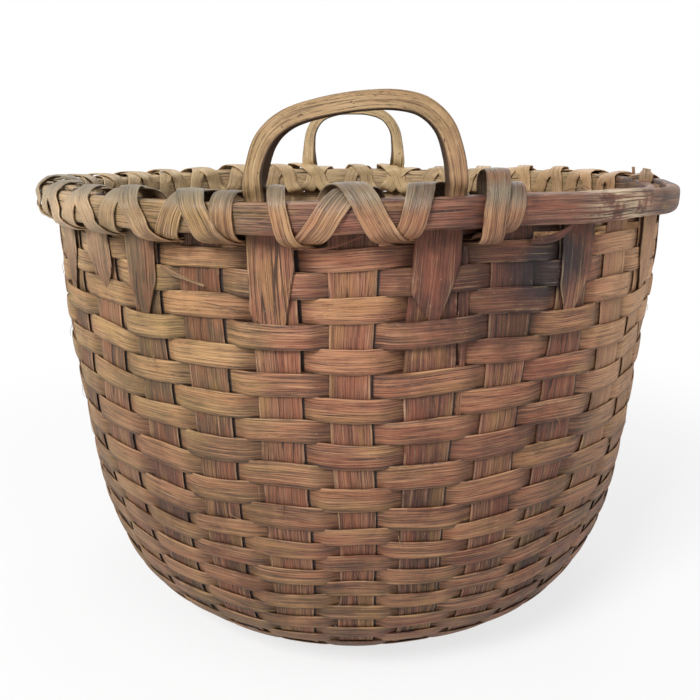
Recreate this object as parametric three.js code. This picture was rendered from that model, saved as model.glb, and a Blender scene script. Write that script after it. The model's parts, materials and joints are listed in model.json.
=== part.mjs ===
// Old round splint basket: sixteen long ash splints cross at the base and stand up as thirty-two
// stakes, courses of flat weavers go over and under them, two hoops grip the rim, a flat lashing
// crosses over the hoops, and two bent handles are caught between the wall and the inner hoop.
// Millimetres, +Z up, origin under the middle of the flat base, the near handle on the -Y side.
import * as THREE from "three";

// Driving dimensions of the whole basket
const stakeRadius = 221.4; // axis to the middle of a stake at the rim
const rimHeight = 320; // floor to the top edge of the outer hoop
const baseRadius = 117; // edge of the flat part of the base
const splintCount = 16;
const stakeCount = 2 * splintCount;
const stakeAngle = (2 * Math.PI) / stakeCount;
const firstStakeAngle = -0.0087; // the stake nearest the viewer stands a little to the left
const fitGap = 0.3; // between pieces that touch

const splint = {
  thickness: 0.8,
  waist: 9.2, // width where the splints cross under the basket
  spacingShare: 0.6, // width of a stake as a share of the stakes' spacing
  topDrop: 2.6, // rim top down to the top of a stake
  pileGap: 0.3, // between splints in the crossing
};

const weaver = {
  thickness: 1,
  sideGap: 0.6, // between one course and the next
  edgeGap: 0.5, // past a stake's edge before a weaver turns inwards
};

// Courses from the rim down, by the distance along the wall. The widths below the first are
// drawn in or out together, so that whole courses fill the wall.
const rimCourse = { top: 3.8, width: 12.2 }; // hidden between the hoops
const lashSlot = 25; // rim top down to the first course that shows
const wallCourse = { width: 14, first: 11 };
const bendCourse = { width: 10.1 };
const shoulderCourse = { width: 15.29 };
const crossingRadius = 78; // inner edge of the innermost course
// Courses on each straight panel, below the two at the rim
const courseCounts = { upper: 5, lower: 6, bend: [3, 3, 2, 2], shoulder: [2, 3], flat: 3 };

// A stake folded down outside the courses, with its point held under one of them
const tongue = {
  tuck: 6, // the point past the edge of the course that holds it
  taper: 32, // length of the point
  tipWidth: 3,
};
const tongueTucks = 4; // the course that holds the points of the folded stakes
const shortTongue = { stake: 28, tucks: 3 }; // one more, on a stake between the folded ones

const outerHoop = { height: 18, thickness: 9.4, bevel: 4.2, rise: 4.6 };
const innerHoop = { height: 20.6, thickness: 6.8, above: 0.2 };

const lashing = {
  thickness: 0.9,
  width: 12.8,
  loops: 24,
  gap: 0.55, // to the hoops, and between the two strands
  arch: 4.5, // how much higher it stands over the tops of the hoops
};
// The strands start and end right of the near handle, counted in stakes: the lower one slants
// from a gap to its last top, and the upper one goes straight up beside it
const lashingEnd = { gap: 1.5, top: 1.92, wrap: 1.57 };

const frontHandle = {
  halfSpan: 51.8, // its middle to the middle of a leg
  height: 46.8, // rim top to the middle of the bow
  width: 9.8,
  legWidth: 11.8,
  tailWidth: 9,
  depth: 9,
  offset: 0, // its middle from the line of the middle stakes
  twistAngles: [-0.42, 0.06], // how far its left and right legs turn outwards
};
const rearHandle = {
  halfSpan: 47,
  height: 60.5,
  width: 9.6,
  legWidth: 14.6,
  tailWidth: 11,
  depth: 9,
  offset: 6.3,
  twistAngles: [-0.15, 0.15],
};
const handleLeg = {
  thickness: 4, // shaved thin between the wall and the inner hoop
  tailThickness: 2,
  shoulder: 1.6, // above the rim, where the stick begins to thicken
  neck: 9, // rim top down to where the tail begins
  tailEnd: 84, // rim top down to the end of the tail
};

// Shape of the wall from the rim to the flat base, as shares of the fall in radius and height
const wallShares = [
  [0, 0],
  [0.004, 0.19],
  [0.03, 0.42],
  [0.086, 0.62],
  [0.176, 0.78],
  [0.29, 0.875],
  [0.465, 0.938],
  [0.73, 0.982],
  [1, 1],
];

// Middle line of each bow from its left leg to its right, as shares of its half span and height
const frontBowShares = [
  [-1, 0.13], [-0.96, 0.32], [-0.85, 0.6], [-0.65, 0.8], [-0.33, 0.92], [0.045, 0.99],
  [0.44, 1], [0.68, 0.93], [0.87, 0.74], [0.965, 0.45], [1, 0.13],
];
const rearBowShares = [
  [-1, 0.12], [-0.99, 0.4], [-0.93, 0.66], [-0.72, 0.88], [-0.38, 0.98], [0, 1],
  [0.38, 0.98], [0.72, 0.88], [0.93, 0.66], [0.99, 0.4], [1, 0.12],
];

// Materials
const finish = (color, roughness) =>
  new THREE.MeshStandardMaterial({ color, roughness, metalness: 0 });
const stakeWood = finish("#7d4f34", 0.72);
const weaverWood = finish("#946244", 0.66);
const hoopWood = finish("#80573c", 0.55);
const lashingWood = finish("#a57c4d", 0.5);
const handleWood = finish("#b08a58", 0.58);

// A solid from a row of sections, each a ring of points in the same order
function loft(sections, closed) {
  const sides = sections[0].length;
  const index = [];
  const spans = closed ? sections.length : sections.length - 1;
  for (let i = 0; i < spans; i++) {
    const a = i * sides;
    const b = ((i + 1) % sections.length) * sides;
    for (let j = 0; j < sides; j++) {
      const k = (j + 1) % sides;
      index.push(a + j, b + j, b + k, a + j, b + k, a + k);
    }
  }
  if (!closed) {
    const last = (sections.length - 1) * sides;
    for (let j = 1; j < sides - 1; j++) {
      index.push(0, j, j + 1, last, last + j + 1, last + j);
    }
  }
  const points = sections.flat();
  if (signedVolume(points, index) < 0) index.reverse();
  const geometry = new THREE.BufferGeometry().setFromPoints(points);
  geometry.setIndex(index);
  geometry.computeVertexNormals();
  return geometry;
}

function signedVolume(points, index) {
  let sum = 0;
  for (let i = 0; i < index.length; i += 3) {
    const [a, b, c] = [points[index[i]], points[index[i + 1]], points[index[i + 2]]];
    sum += a.dot(b.clone().cross(c));
  }
  return sum;
}

// A point given in the frame of one stake: out from the axis, to its side, and down from the rim
function atAngle(angle, out, side, drop) {
  const x = side * Math.cos(angle) + out * Math.sin(angle);
  const y = side * Math.sin(angle) - out * Math.cos(angle);
  return new THREE.Vector3(x, y, rimHeight - drop);
}

const angleOfStake = (k) => firstStakeAngle + k * stakeAngle;

// The wall's middle line: out from the axis (x) against down from the rim (y)
const baseDrop = rimHeight - splint.thickness / 2 - fitGap - weaver.thickness;
const wallCurve = new THREE.SplineCurve(
  wallShares.map(
    ([inShare, downShare]) =>
      new THREE.Vector2(stakeRadius - inShare * (stakeRadius - baseRadius), downShare * baseDrop),
  ),
);
wallCurve.arcLengthDivisions = 400;
const wallLength = wallCurve.getLength();
const wallPoint = (along) => wallCurve.getPointAt(Math.min(along / wallLength, 1));

// Where the courses of full width start, with their widths fitted to the wall
const sumOf = (counts) => counts.reduce((sum, count) => sum + count, 0);
const fullWidth =
  (courseCounts.upper + courseCounts.lower) * wallCourse.width +
  sumOf(courseCounts.bend) * bendCourse.width +
  sumOf(courseCounts.shoulder) * shoulderCourse.width;
const courseFit = (wallLength - lashSlot - wallCourse.first) / fullWidth;
const courseStart = (i) => lashSlot + wallCourse.first + i * wallCourse.width * courseFit;
const firstFull = 2; // number of the first course of full width

// Straight panels of the wall from the rim to the crossing, each with its whole courses
function makePanels() {
  const plan = [[courseCounts.lower, wallCourse.width]];
  for (const count of courseCounts.bend) plan.push([count, bendCourse.width]);
  for (const count of courseCounts.shoulder) plan.push([count, shoulderCourse.width]);
  const upperEnd = courseStart(courseCounts.upper);
  let from = wallPoint(upperEnd);
  const rim = wallPoint(0);
  const rimPanel = { from: rim, to: from, spans: [] };
  rimPanel.spans.push([rimCourse.top, rimCourse.top + rimCourse.width]);
  rimPanel.spans.push([lashSlot, courseStart(0) - weaver.sideGap / 2]);
  for (let i = 0; i < courseCounts.upper; i++) {
    const half = weaver.sideGap / 2;
    rimPanel.spans.push([courseStart(i) + half, courseStart(i + 1) - half]);
  }
  const panels = [rimPanel];
  let end = upperEnd;
  for (const [count, width] of plan) {
    end += count * width * courseFit;
    const to = wallPoint(end);
    panels.push(evenPanel(from, to, count));
    from = to;
  }
  const centre = new THREE.Vector2(crossingRadius, baseDrop);
  panels.push(evenPanel(from, centre, courseCounts.flat));
  return panels;
}

function evenPanel(from, to, courses) {
  const pitch = from.distanceTo(to) / courses;
  const spans = [];
  for (let i = 0; i < courses; i++) {
    spans.push([i * pitch + weaver.sideGap / 2, (i + 1) * pitch - weaver.sideGap / 2]);
  }
  return { from, to, spans };
}

const panels = makePanels();
for (const panel of panels) {
  panel.along = panel.to.clone().sub(panel.from).normalize();
  panel.normal = new THREE.Vector2(panel.along.y, -panel.along.x);
}

const stakeHalfWidth = (radius) =>
  Math.max(splint.waist, 2 * radius * Math.tan(stakeAngle / 2) * splint.spacingShare) / 2;

// Courses of weavers
const isOver = (course, stake) => (course + stake) % 2 !== 0;
const legStakes = [1, stakeCount - 1, splintCount - 1, splintCount + 1];
const tailCourses = [1, 3, 5];

// The course that holds the point of a stake's tongue, where the stake has one
function tuckOf(stake) {
  if (stake === shortTongue.stake) return shortTongue.tucks;
  return stake % 2 === 1 ? tongueTucks : null;
}

// How far a handle's leg stands to the side of its stake. sign is the leg's side of the handle.
function legSide(handle, sign) {
  const turn = Math.asin(handle.halfSpan / stakeRadius) - stakeAngle;
  return sign * stakeRadius * Math.sin(turn) + handle.offset;
}

// The handle and the side of the leg that stands at a leg stake
function legAt(stake) {
  const handle = stake === 1 || stake === stakeCount - 1 ? frontHandle : rearHandle;
  const sign = stake === 1 || stake === splintCount + 1 ? 1 : -1;
  return { handle, side: legSide(handle, sign) };
}

// How far a weaver keeps inside a leg stake on each side, so that it clears the leg's tail
function tailTurns(stake, turn) {
  const { handle, side } = legAt(stake);
  const reach = handle.tailWidth / 2 + weaver.edgeGap;
  return [Math.min(-turn, side - reach), Math.max(turn, side + reach)];
}

// Points of a course's cross-section beside one stake, lifted off the wall's middle line
function courseSection(course, stake, sides, lift) {
  const { panel, edges } = course;
  const point = (edge, height) => {
    const out = edges[edge].x + panel.normal.x * (lift + height);
    const drop = edges[edge].y + panel.normal.y * (lift + height);
    return atAngle(angleOfStake(stake), out, sides[edge], drop);
  };
  const half = weaver.thickness / 2;
  return [point(0, half), point(1, half), point(1, -half), point(0, -half)];
}

// How far inside the wall a weaver passes, so that it clears the stake's edges on its way there
function underDepth(course, overLift) {
  const clear = (splint.thickness + weaver.thickness) / 2 + fitGap;
  return Math.max(
    ...course.edges.map((edge, i) => {
      const { x: across, y: down } = course.panel.normal;
      const turn = course.turns[i];
      const out = edge.x + across * overLift;
      const shift = out * Math.cos(stakeAngle) + turn * Math.sin(stakeAngle) - edge.x;
      const start = shift * across + down * down * overLift;
      const reach = out * Math.sin(stakeAngle) - turn * Math.cos(stakeAngle);
      const slope = (overLift + clear) / (reach - stakeHalfWidth(edge.x));
      const needed = clear * Math.hypot(1, slope);
      const share = stakeHalfWidth(edge.x) / reach;
      return (needed + share * start) / (1 - share);
    }),
  );
}

const stakesOf = (test) => [...Array(stakeCount).keys()].filter(test);

function makeWeaver(course) {
  const overLift = (splint.thickness + weaver.thickness) / 2 + fitGap;
  const tuckLift = overLift + splint.thickness + 2 * fitGap;
  const tailDepth = overLift + handleLeg.tailThickness + fitGap;
  const holds = (k) => tuckOf(k) === course.number;
  const depth = underDepth(course, stakesOf(holds).length > 0 ? tuckLift : overLift);
  const outward = course.turns;
  const back = outward.map((side) => -side);
  const sections = [];
  for (let k = 0; k < stakeCount; k++) {
    if (isOver(course.number, k)) {
      const lift = holds(k) ? tuckLift : overLift;
      sections.push(courseSection(course, k, back, lift));
      sections.push(courseSection(course, k, outward, lift));
    } else if (tailCourses.includes(course.number) && legStakes.includes(k)) {
      const [low, high] = tailTurns(k, Math.max(...outward));
      sections.push(courseSection(course, k, [low, low], -tailDepth));
      sections.push(courseSection(course, k, [high, high], -tailDepth));
    } else {
      sections.push(courseSection(course, k, [0, 0], -depth));
    }
  }
  return loft(sections, true);
}

function listCourses() {
  const courses = [];
  for (const panel of panels) {
    for (const span of panel.spans) {
      const edges = span.map((s) => panel.from.clone().addScaledVector(panel.along, s));
      const turns = edges.map((edge) => stakeHalfWidth(edge.x) + weaver.edgeGap);
      courses.push({ number: courses.length, panel, edges, turns });
    }
  }
  return courses;
}

// Splints. Where they cross, each lies at its own level: neighbours part first, so the splint's
// number read backwards in binary is its place in the pile.
const pileStep = splint.thickness + splint.pileGap;
const crossingBits = 4;
const crossingRoomShares = [1.04, 1.3, 1.8, 2.2];
const crossingReach = (bit) =>
  (crossingRoomShares[bit] * splint.waist) / (2 * Math.tan((2 ** bit * stakeAngle) / 2));
// Levels that each bit of the number adds, at the reach of each bit from the outermost in
const levelShares = [
  [1.15, 4, 6, 8],
  [0, 1.15, 2.9, 4],
  [0, 0, 1.15, 2],
  [0, 0, 0, 1],
];

function crossingLevel(number, ring) {
  let level = 0;
  for (let bit = 0; bit < crossingBits; bit++) {
    if (number & (1 << bit)) level += levelShares[bit][ring];
  }
  return level * pileStep;
}

// Middle line of a half splint from its top to the crossing, with its half width at each point
function halfSplint(number, tucks) {
  const first = panels[0];
  const onRim = (drop, lift) => ({
    point: first.from
      .clone()
      .addScaledVector(first.along, drop)
      .addScaledVector(first.normal, lift),
    half: stakeHalfWidth(first.from.x),
  });
  const line = [];
  if (tucks !== null) {
    const overCourse = splint.thickness + weaver.thickness + 2 * fitGap;
    const edge = courseStart(tucks - firstFull); // of the course that holds the point
    const bend = courseStart(tucks - firstFull - 1) + weaver.sideGap;
    const reach = edge + tongue.tuck;
    const point = (drop, lift) => {
      const whole = onRim(drop, lift);
      const left = (reach - drop) / tongue.taper;
      const half = THREE.MathUtils.lerp(tongue.tipWidth / 2, whole.half, Math.min(left, 1));
      return { ...whole, half };
    };
    line.push(point(reach, splint.thickness + fitGap));
    line.push(point(bend, overCourse));
    line.push(point(reach - tongue.taper, overCourse));
    line.push(point(splint.topDrop, overCourse));
  }
  line.push(onRim(splint.topDrop, 0));
  for (const panel of panels) {
    line.push({ point: panel.to, half: stakeHalfWidth(panel.to.x) });
  }
  for (let ring = 0; ring < crossingBits; ring++) {
    const rise = crossingLevel(number, ring);
    const point = new THREE.Vector2(crossingReach(ring), baseDrop - rise);
    line.push({ point, half: splint.waist / 2 });
  }
  return line;
}

function makeSplint(number) {
  const near = halfSplint(number, tuckOf(number));
  const far = halfSplint(number, tuckOf(number + splintCount)).map(({ point, half }) => ({
    point: new THREE.Vector2(-point.x, point.y),
    half,
  }));
  const line = [...near, ...far.reverse()];
  const angle = angleOfStake(number);
  const sections = line.map(({ point, half }, i) => {
    const before = line[Math.max(i - 1, 0)].point;
    const after = line[Math.min(i + 1, line.length - 1)].point;
    const miter = miterAt(before, point, after, splint.thickness / 2);
    const corner = (sign, side) =>
      atAngle(angle, point.x + sign * miter.x, side, point.y + sign * miter.y);
    return [corner(1, -half), corner(1, half), corner(-1, half), corner(-1, -half)];
  });
  return loft(sections, false);
}

// Offset at a corner of a line so that the strip keeps its thickness on both sides
function miterAt(before, point, after, offset) {
  const into = point.clone().sub(before).normalize();
  const away = after.clone().sub(point).normalize();
  if (into.lengthSq() === 0) into.copy(away);
  if (away.lengthSq() === 0) away.copy(into);
  const normal = new THREE.Vector2(-into.y - away.y, into.x + away.x).normalize();
  const stretch = normal.dot(new THREE.Vector2(-into.y, into.x));
  return normal.multiplyScalar(offset / stretch);
}

// Rim layers at a stake, out from the middle of the stake
const hoopSteps = 40;
const facetRoom = 1 / Math.cos(Math.PI / hoopSteps);
// Half a stake, a weaver over it and a folded stake over both
const outerLayers = splint.thickness / 2 + weaver.thickness + splint.thickness + 3 * fitGap;
const outerHoopInside = Math.hypot(
  stakeRadius + outerLayers,
  stakeHalfWidth(stakeRadius),
);
const outerHoopOutside = outerHoopInside + outerHoop.thickness;

function makeOuterHoop() {
  const { height, bevel, rise } = outerHoop;
  const inside = outerHoopInside * facetRoom;
  const outside = outerHoopOutside;
  const profile = [
    [inside, 0],
    [outside - bevel, 0],
    [outside, rise],
    [outside, height - rise],
    [outside - bevel, height],
    [inside, height],
    [inside, 0],
  ].map(([x, drop]) => new THREE.Vector2(x, rimHeight - drop));
  return new THREE.LatheGeometry(profile.reverse(), hoopSteps).rotateX(Math.PI / 2);
}

const courses = listCourses();
const rimUnder = underDepth(courses[0], (splint.thickness + weaver.thickness) / 2 + fitGap);
const innerHoopOutside = stakeRadius - rimUnder - weaver.thickness / 2 - fitGap;
const legInside = stakeRadius - splint.thickness / 2 - 2 * fitGap - handleLeg.thickness;

// The inner hoop bends inwards where it passes a handle's legs, and is back in its circle at
// this many stakes from the handle's middle
const hoopBendEnd = 2.5;
function innerHoopRadius(angle) {
  const turn = Math.abs(Math.asin(Math.sin(angle))) / stakeAngle;
  const near = THREE.MathUtils.clamp(hoopBendEnd - turn, 0, 1);
  return THREE.MathUtils.lerp(innerHoopOutside, Math.min(legInside, innerHoopOutside), near);
}

function makeInnerHoop() {
  const sections = [];
  for (let i = 0; i < hoopSteps; i++) {
    const angle = firstStakeAngle + (i * 2 * Math.PI) / hoopSteps;
    const outside = innerHoopRadius(angle);
    const inside = outside - innerHoop.thickness;
    const top = -innerHoop.above;
    const bottom = innerHoop.height - innerHoop.above;
    sections.push([
      atAngle(angle, outside, 0, top),
      atAngle(angle, outside, 0, bottom),
      atAngle(angle, inside, 0, bottom),
      atAngle(angle, inside, 0, top),
    ]);
  }
  return loft(sections, true);
}

// Where a lashing strand crosses over the rim at a stake, in stake spacings from that stake.
// At a leg it stays on the side that it comes from.
function crossingAt(stake, heading) {
  const whole = THREE.MathUtils.euclideanModulo(stake, stakeCount);
  if (!legStakes.includes(whole)) return 0;
  const { handle, side } = legAt(whole);
  const clear = (handle.legWidth + lashing.width) / 2 + 3 * lashing.gap;
  return (side - heading * clear) / (stakeRadius * stakeAngle);
}

// Where the strands pass under the hoops in a gap, clear of a leg's tail beside it
function gapPlace(gap) {
  const spacing = stakeRadius * stakeAngle;
  const whole = THREE.MathUtils.euclideanModulo(gap, stakeCount);
  for (const stake of legStakes) {
    const { handle, side } = legAt(stake);
    const clear = (handle.tailWidth + lashing.width) / 2 + 2 * lashing.gap;
    const beside = (whole - stake) * spacing - side;
    if (Math.abs(beside) < clear) return gap + (Math.sign(beside) * clear - beside) / spacing;
  }
  return gap;
}

// The loops of a strand in turn: the gap where each starts, where it crosses over the rim, and
// the gap that it goes on to
function listLoops(heading) {
  const { gap: end, top: lastTop, wrap } = lashingEnd;
  const loops = [];
  for (let i = 0; i < lashing.loops; i++) {
    const gap = heading > 0 ? end - (lashing.loops - 1 - i) : end - i;
    const stake = gap + heading / 2;
    const top = stake + crossingAt(stake, heading);
    loops.push({ gap: gapPlace(gap), top, next: gapPlace(gap + heading) });
  }
  if (heading > 0) loops.at(-1).top = lastTop;
  else Object.assign(loops[0], { gap: wrap, top: wrap });
  return loops;
}

// Shares of a strand's slant where it reaches the outer hoop's face and leaves it, and how much
// wider it lies there for its slant
const lowShare = 0.26;
const highShare = 0.74;
const slantShare = 0.6;

// One strand of the lashing. heading is +1 or -1, the way it goes round; layer is 0 or 1.
function makeStrand(heading, layer) {
  const lift = lashing.gap + lashing.thickness / 2 + layer * (lashing.thickness + lashing.gap);
  const low = Math.max(outerHoop.height, innerHoop.height - innerHoop.above) + lift;
  const { bevel, rise, height } = outerHoop;
  const outside = outerHoopOutside + lift;
  const over = -innerHoop.above - lift - lashing.arch;
  const stations = [];
  const add = (place, out, drop, spread) => {
    const angle = firstStakeAngle + place * stakeAngle;
    const from = typeof out === "function" ? out(angle) : out;
    const half = (lashing.width * spread) / 2;
    stations.push({ angle, half, point: atAngle(angle, from, 0, drop) });
  };
  const inner = (angle) => {
    const beside = [-1, 0, 1].map((side) => innerHoopRadius(angle + (side * stakeAngle) / 2));
    return (Math.min(...beside) - innerHoop.thickness) / facetRoom - lift;
  };
  for (const { gap, top, next } of listLoops(heading)) {
    const climb = top - gap;
    const spread = 1 + slantShare * Math.abs(climb);
    add(gap, outside - bevel, low, 1);
    add(gap + climb * lowShare, outside, height - rise, spread);
    add(gap + climb * highShare, outside, rise, spread);
    add(top, outside - bevel, over, 1);
    add(top, inner, over, 1);
    add(next, inner, low, 1);
  }
  const sections = stations.map(({ angle, half, point }, i) => {
    const before = stations[Math.max(i - 1, 0)].point;
    const after = stations[Math.min(i + 1, stations.length - 1)].point;
    const across = atAngle(angle, 0, 1, rimHeight);
    const thick = after.clone().sub(before).cross(across).normalize();
    const corner = (a, b) =>
      point
        .clone()
        .addScaledVector(across, a * half)
        .addScaledVector(thick, (b * lashing.thickness) / 2);
    return [corner(-1, 1), corner(1, 1), corner(1, -1), corner(-1, -1)];
  });
  const turn = stations.length / lashing.loops;
  reportGap(stations.map((station) => station.point), turn, heading);
  return loft(sections, false);
}

// Least gap of a strand to its own other turns, measured between points on its middle line
function reportGap(points, turn, heading) {
  let least = Infinity;
  points.forEach((point, i) => {
    for (let j = i + turn; j < points.length; j++) {
      least = Math.min(least, point.distanceTo(points[j]));
    }
  });
  const gap = least - lashing.width;
  console.log(`lashing heading ${heading}: least gap to itself ${gap.toFixed(1)} mm`);
}

// A handle: a bent stick, full above the rim, shaved to a leg in it and to a thin tail below
const bowSteps = 16;
const swellPower = 3; // how late a bow thickens toward its legs
const chamferShare = 0.26;
function makeHandle(handle, bowShares, facing) {
  const legOut = stakeRadius - splint.thickness / 2 - fitGap;
  const first = panels[0];
  const lean = first.along.x / first.along.y;
  const frames = [];
  const addLeg = (sign, drop, thickness, width) => {
    const out = legOut + lean * drop - thickness / 2;
    frames.push({
      point: atAngle(sign * stakeAngle, out, legSide(handle, sign), drop),
      deep: atAngle(sign * stakeAngle, 1, 0, rimHeight),
      wide: atAngle(sign * stakeAngle, 0, sign, rimHeight),
      width,
      depth: thickness,
    });
  };
  const { thickness, tailThickness, neck, tailEnd, shoulder } = handleLeg;
  const { tailWidth } = handle;
  addLeg(-1, tailEnd, tailThickness, tailWidth);
  addLeg(-1, lashSlot, tailThickness, tailWidth);
  addLeg(-1, neck, thickness, handle.legWidth);
  addLeg(-1, -shoulder, thickness, handle.legWidth);
  const bowOut = legOut * Math.cos(stakeAngle) - handle.depth / 2;
  const bow = bowShares.map(
    ([acrossShare, upShare]) =>
      new THREE.Vector3(
        acrossShare * handle.halfSpan + handle.offset,
        -bowOut,
        rimHeight + upShare * handle.height,
      ),
  );
  const curve = new THREE.CatmullRomCurve3(bow, false, "centripetal");
  for (let i = 0; i <= bowSteps; i++) {
    const u = i / bowSteps;
    const along = curve.getTangentAt(u);
    const swell = Math.abs(2 * u - 1) ** swellPower;
    const deep = atAngle(swell * handle.twistAngles[u < 0.5 ? 0 : 1], 1, 0, rimHeight);
    const wide = deep.clone().cross(along).normalize();
    const width = THREE.MathUtils.lerp(handle.width, handle.legWidth, swell);
    frames.push({ point: curve.getPointAt(u), deep, wide, width, depth: handle.depth });
  }
  addLeg(1, -shoulder, thickness, handle.legWidth);
  addLeg(1, neck, thickness, handle.legWidth);
  addLeg(1, lashSlot, tailThickness, tailWidth);
  addLeg(1, tailEnd, tailThickness, tailWidth);
  const geometry = loft(frames.map((frame) => stickSection(frame)), false);
  return facing < 0 ? geometry.rotateZ(Math.PI + firstStakeAngle) : geometry.rotateZ(firstStakeAngle);
}

// An eight-sided section with its corners taken off
function stickSection({ point, deep, wide, width, depth }) {
  const chamfer = Math.min(width, depth) * chamferShare;
  const w = width / 2;
  const d = depth / 2;
  const outline = [
    [w - chamfer, d], [w, d - chamfer], [w, chamfer - d], [w - chamfer, -d],
    [chamfer - w, -d], [-w, chamfer - d], [-w, d - chamfer], [chamfer - w, d],
  ];
  return outline.map(([a, b]) =>
    point.clone().addScaledVector(wide, a).addScaledVector(deep, b),
  );
}

// The basket
const basket = new THREE.Group();
const twoDigits = (number) => String(number).padStart(2, "0");
function addPiece(name, geometry, material) {
  const mesh = new THREE.Mesh(geometry, material);
  mesh.name = name;
  basket.add(mesh);
}

for (let i = 0; i < splintCount; i++) {
  addPiece(`splint_${twoDigits(i + 1)}`, makeSplint(i), stakeWood);
}
for (const course of courses) {
  addPiece(`weaver_${twoDigits(course.number)}`, makeWeaver(course), weaverWood);
}
addPiece("rim_hoop_outer", makeOuterHoop(), hoopWood);
addPiece("rim_hoop_inner", makeInnerHoop(), hoopWood);
addPiece("rim_lashing_under", makeStrand(1, 0), lashingWood);
addPiece("rim_lashing_over", makeStrand(-1, 1), lashingWood);
addPiece("handle_front", makeHandle(frontHandle, frontBowShares, 1), handleWood);
addPiece("handle_rear", makeHandle(rearHandle, rearBowShares, -1), handleWood);

export default basket;
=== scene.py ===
"""Looks of an old round splint basket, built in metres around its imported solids."""

import json
import logging
import math
from dataclasses import dataclass, field
from enum import Enum
from functools import cached_property
from typing import Any, Callable, Optional, Sequence, Union

import bpy
import numpy as np
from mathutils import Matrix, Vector

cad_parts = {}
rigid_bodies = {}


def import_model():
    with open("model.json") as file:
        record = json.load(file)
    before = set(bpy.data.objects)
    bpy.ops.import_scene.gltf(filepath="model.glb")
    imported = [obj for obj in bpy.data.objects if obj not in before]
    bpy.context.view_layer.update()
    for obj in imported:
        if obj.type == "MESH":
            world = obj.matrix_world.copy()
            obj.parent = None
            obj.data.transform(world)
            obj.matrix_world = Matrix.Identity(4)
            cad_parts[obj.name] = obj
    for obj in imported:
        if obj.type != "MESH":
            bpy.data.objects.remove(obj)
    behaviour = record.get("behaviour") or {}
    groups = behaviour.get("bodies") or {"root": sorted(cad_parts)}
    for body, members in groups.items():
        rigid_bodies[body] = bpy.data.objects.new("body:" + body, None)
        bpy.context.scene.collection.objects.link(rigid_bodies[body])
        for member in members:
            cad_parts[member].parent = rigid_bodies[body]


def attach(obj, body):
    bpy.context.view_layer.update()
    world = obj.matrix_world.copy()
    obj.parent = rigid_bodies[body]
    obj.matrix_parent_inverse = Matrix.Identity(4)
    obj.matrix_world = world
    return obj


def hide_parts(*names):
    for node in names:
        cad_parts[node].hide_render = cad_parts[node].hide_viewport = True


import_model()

LOG = logging.getLogger("basket")
BODY = "root"
Array = np.ndarray
Value = Union[float, int, "Wire"]

# Metres that one stake stands for where a curve's knots are spaced by distance
STAKE_SCALE = 0.04


# Node trees

class Wire:
    """A node's output socket that takes part in Python arithmetic."""

    def __init__(self, bench: "Bench", socket: bpy.types.NodeSocket) -> None:
        """Wraps one output socket of a tree.

        Args:
            bench: The tree that the socket is in.
            socket: The output socket.
        """
        self.bench = bench
        self.socket = socket

    @property
    def is_vector(self) -> bool:
        """True where the socket carries a vector or a colour."""
        return self.socket.type in ("VECTOR", "RGBA")

    def math(self, operation: str, *others: Any, clamp: bool = False) -> "Wire":
        """Adds a Math node, or a Vector Math node where a vector takes part.

        Args:
            operation: The node's operation.
            others: Its further values after this one.
            clamp: Keeps a Math node's result between zero and one.

        Returns:
            The node's result, a value for LENGTH and DISTANCE.
        """
        given = dict(enumerate((self, *others)))
        settings = {"operation": operation}
        if any(isinstance(value, Wire) and value.is_vector for value in given.values()):
            out = 1 if operation in ("LENGTH", "DISTANCE") else 0
            return self.bench.node("ShaderNodeVectorMath", settings, given, out)
        return self.bench.node("ShaderNodeMath", {**settings, "use_clamp": clamp}, given)

    def __add__(self, other: Any) -> "Wire":
        """Returns self + other."""
        return self.math("ADD", other)

    __radd__ = __add__

    def __sub__(self, other: Any) -> "Wire":
        """Returns self - other."""
        return self.math("SUBTRACT", other)

    def __rsub__(self, other: float) -> "Wire":
        """Returns other - self, for values."""
        return self.bench.node("ShaderNodeMath", {"operation": "SUBTRACT"}, {0: other, 1: self})

    def __mul__(self, other: Any) -> "Wire":
        """Multiplies with another operand.

        Args:
            other: The other operand.

        Returns:
            The product, which is a scaled vector where a vector meets a value.
        """
        vectors = isinstance(other, tuple) or (isinstance(other, Wire) and other.is_vector)
        if vectors or not self.is_vector:
            return self.math("MULTIPLY", other)
        values = {0: self, 3: other}
        return self.bench.node("ShaderNodeVectorMath", {"operation": "SCALE"}, values)

    __rmul__ = __mul__

    def __truediv__(self, other: Value) -> "Wire":
        """Returns self / other, for values."""
        return self.math("DIVIDE", other)

    def __pow__(self, other: Value) -> "Wire":
        """Returns self to the power of other."""
        return self.math("POWER", other)

    def __abs__(self) -> "Wire":
        """Returns the size of the value without its sign."""
        return self.math("ABSOLUTE")

    def __neg__(self) -> "Wire":
        """Returns -self."""
        return self * -1.0

    def smooth(self, low: Value, high: Value, start: float = 0.0, end: float = 1.0) -> "Wire":
        """Turns the value into a smooth step.

        Args:
            low: The value where the step begins.
            high: The value where it ends.
            start: The result up to low.
            end: The result from high on.

        Returns:
            The step.
        """
        settings = {"interpolation_type": "SMOOTHSTEP"}
        values = {"Value": self, "From Min": low, "From Max": high, "To Min": start, "To Max": end}
        return self.bench.node("ShaderNodeMapRange", settings, values)


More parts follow.
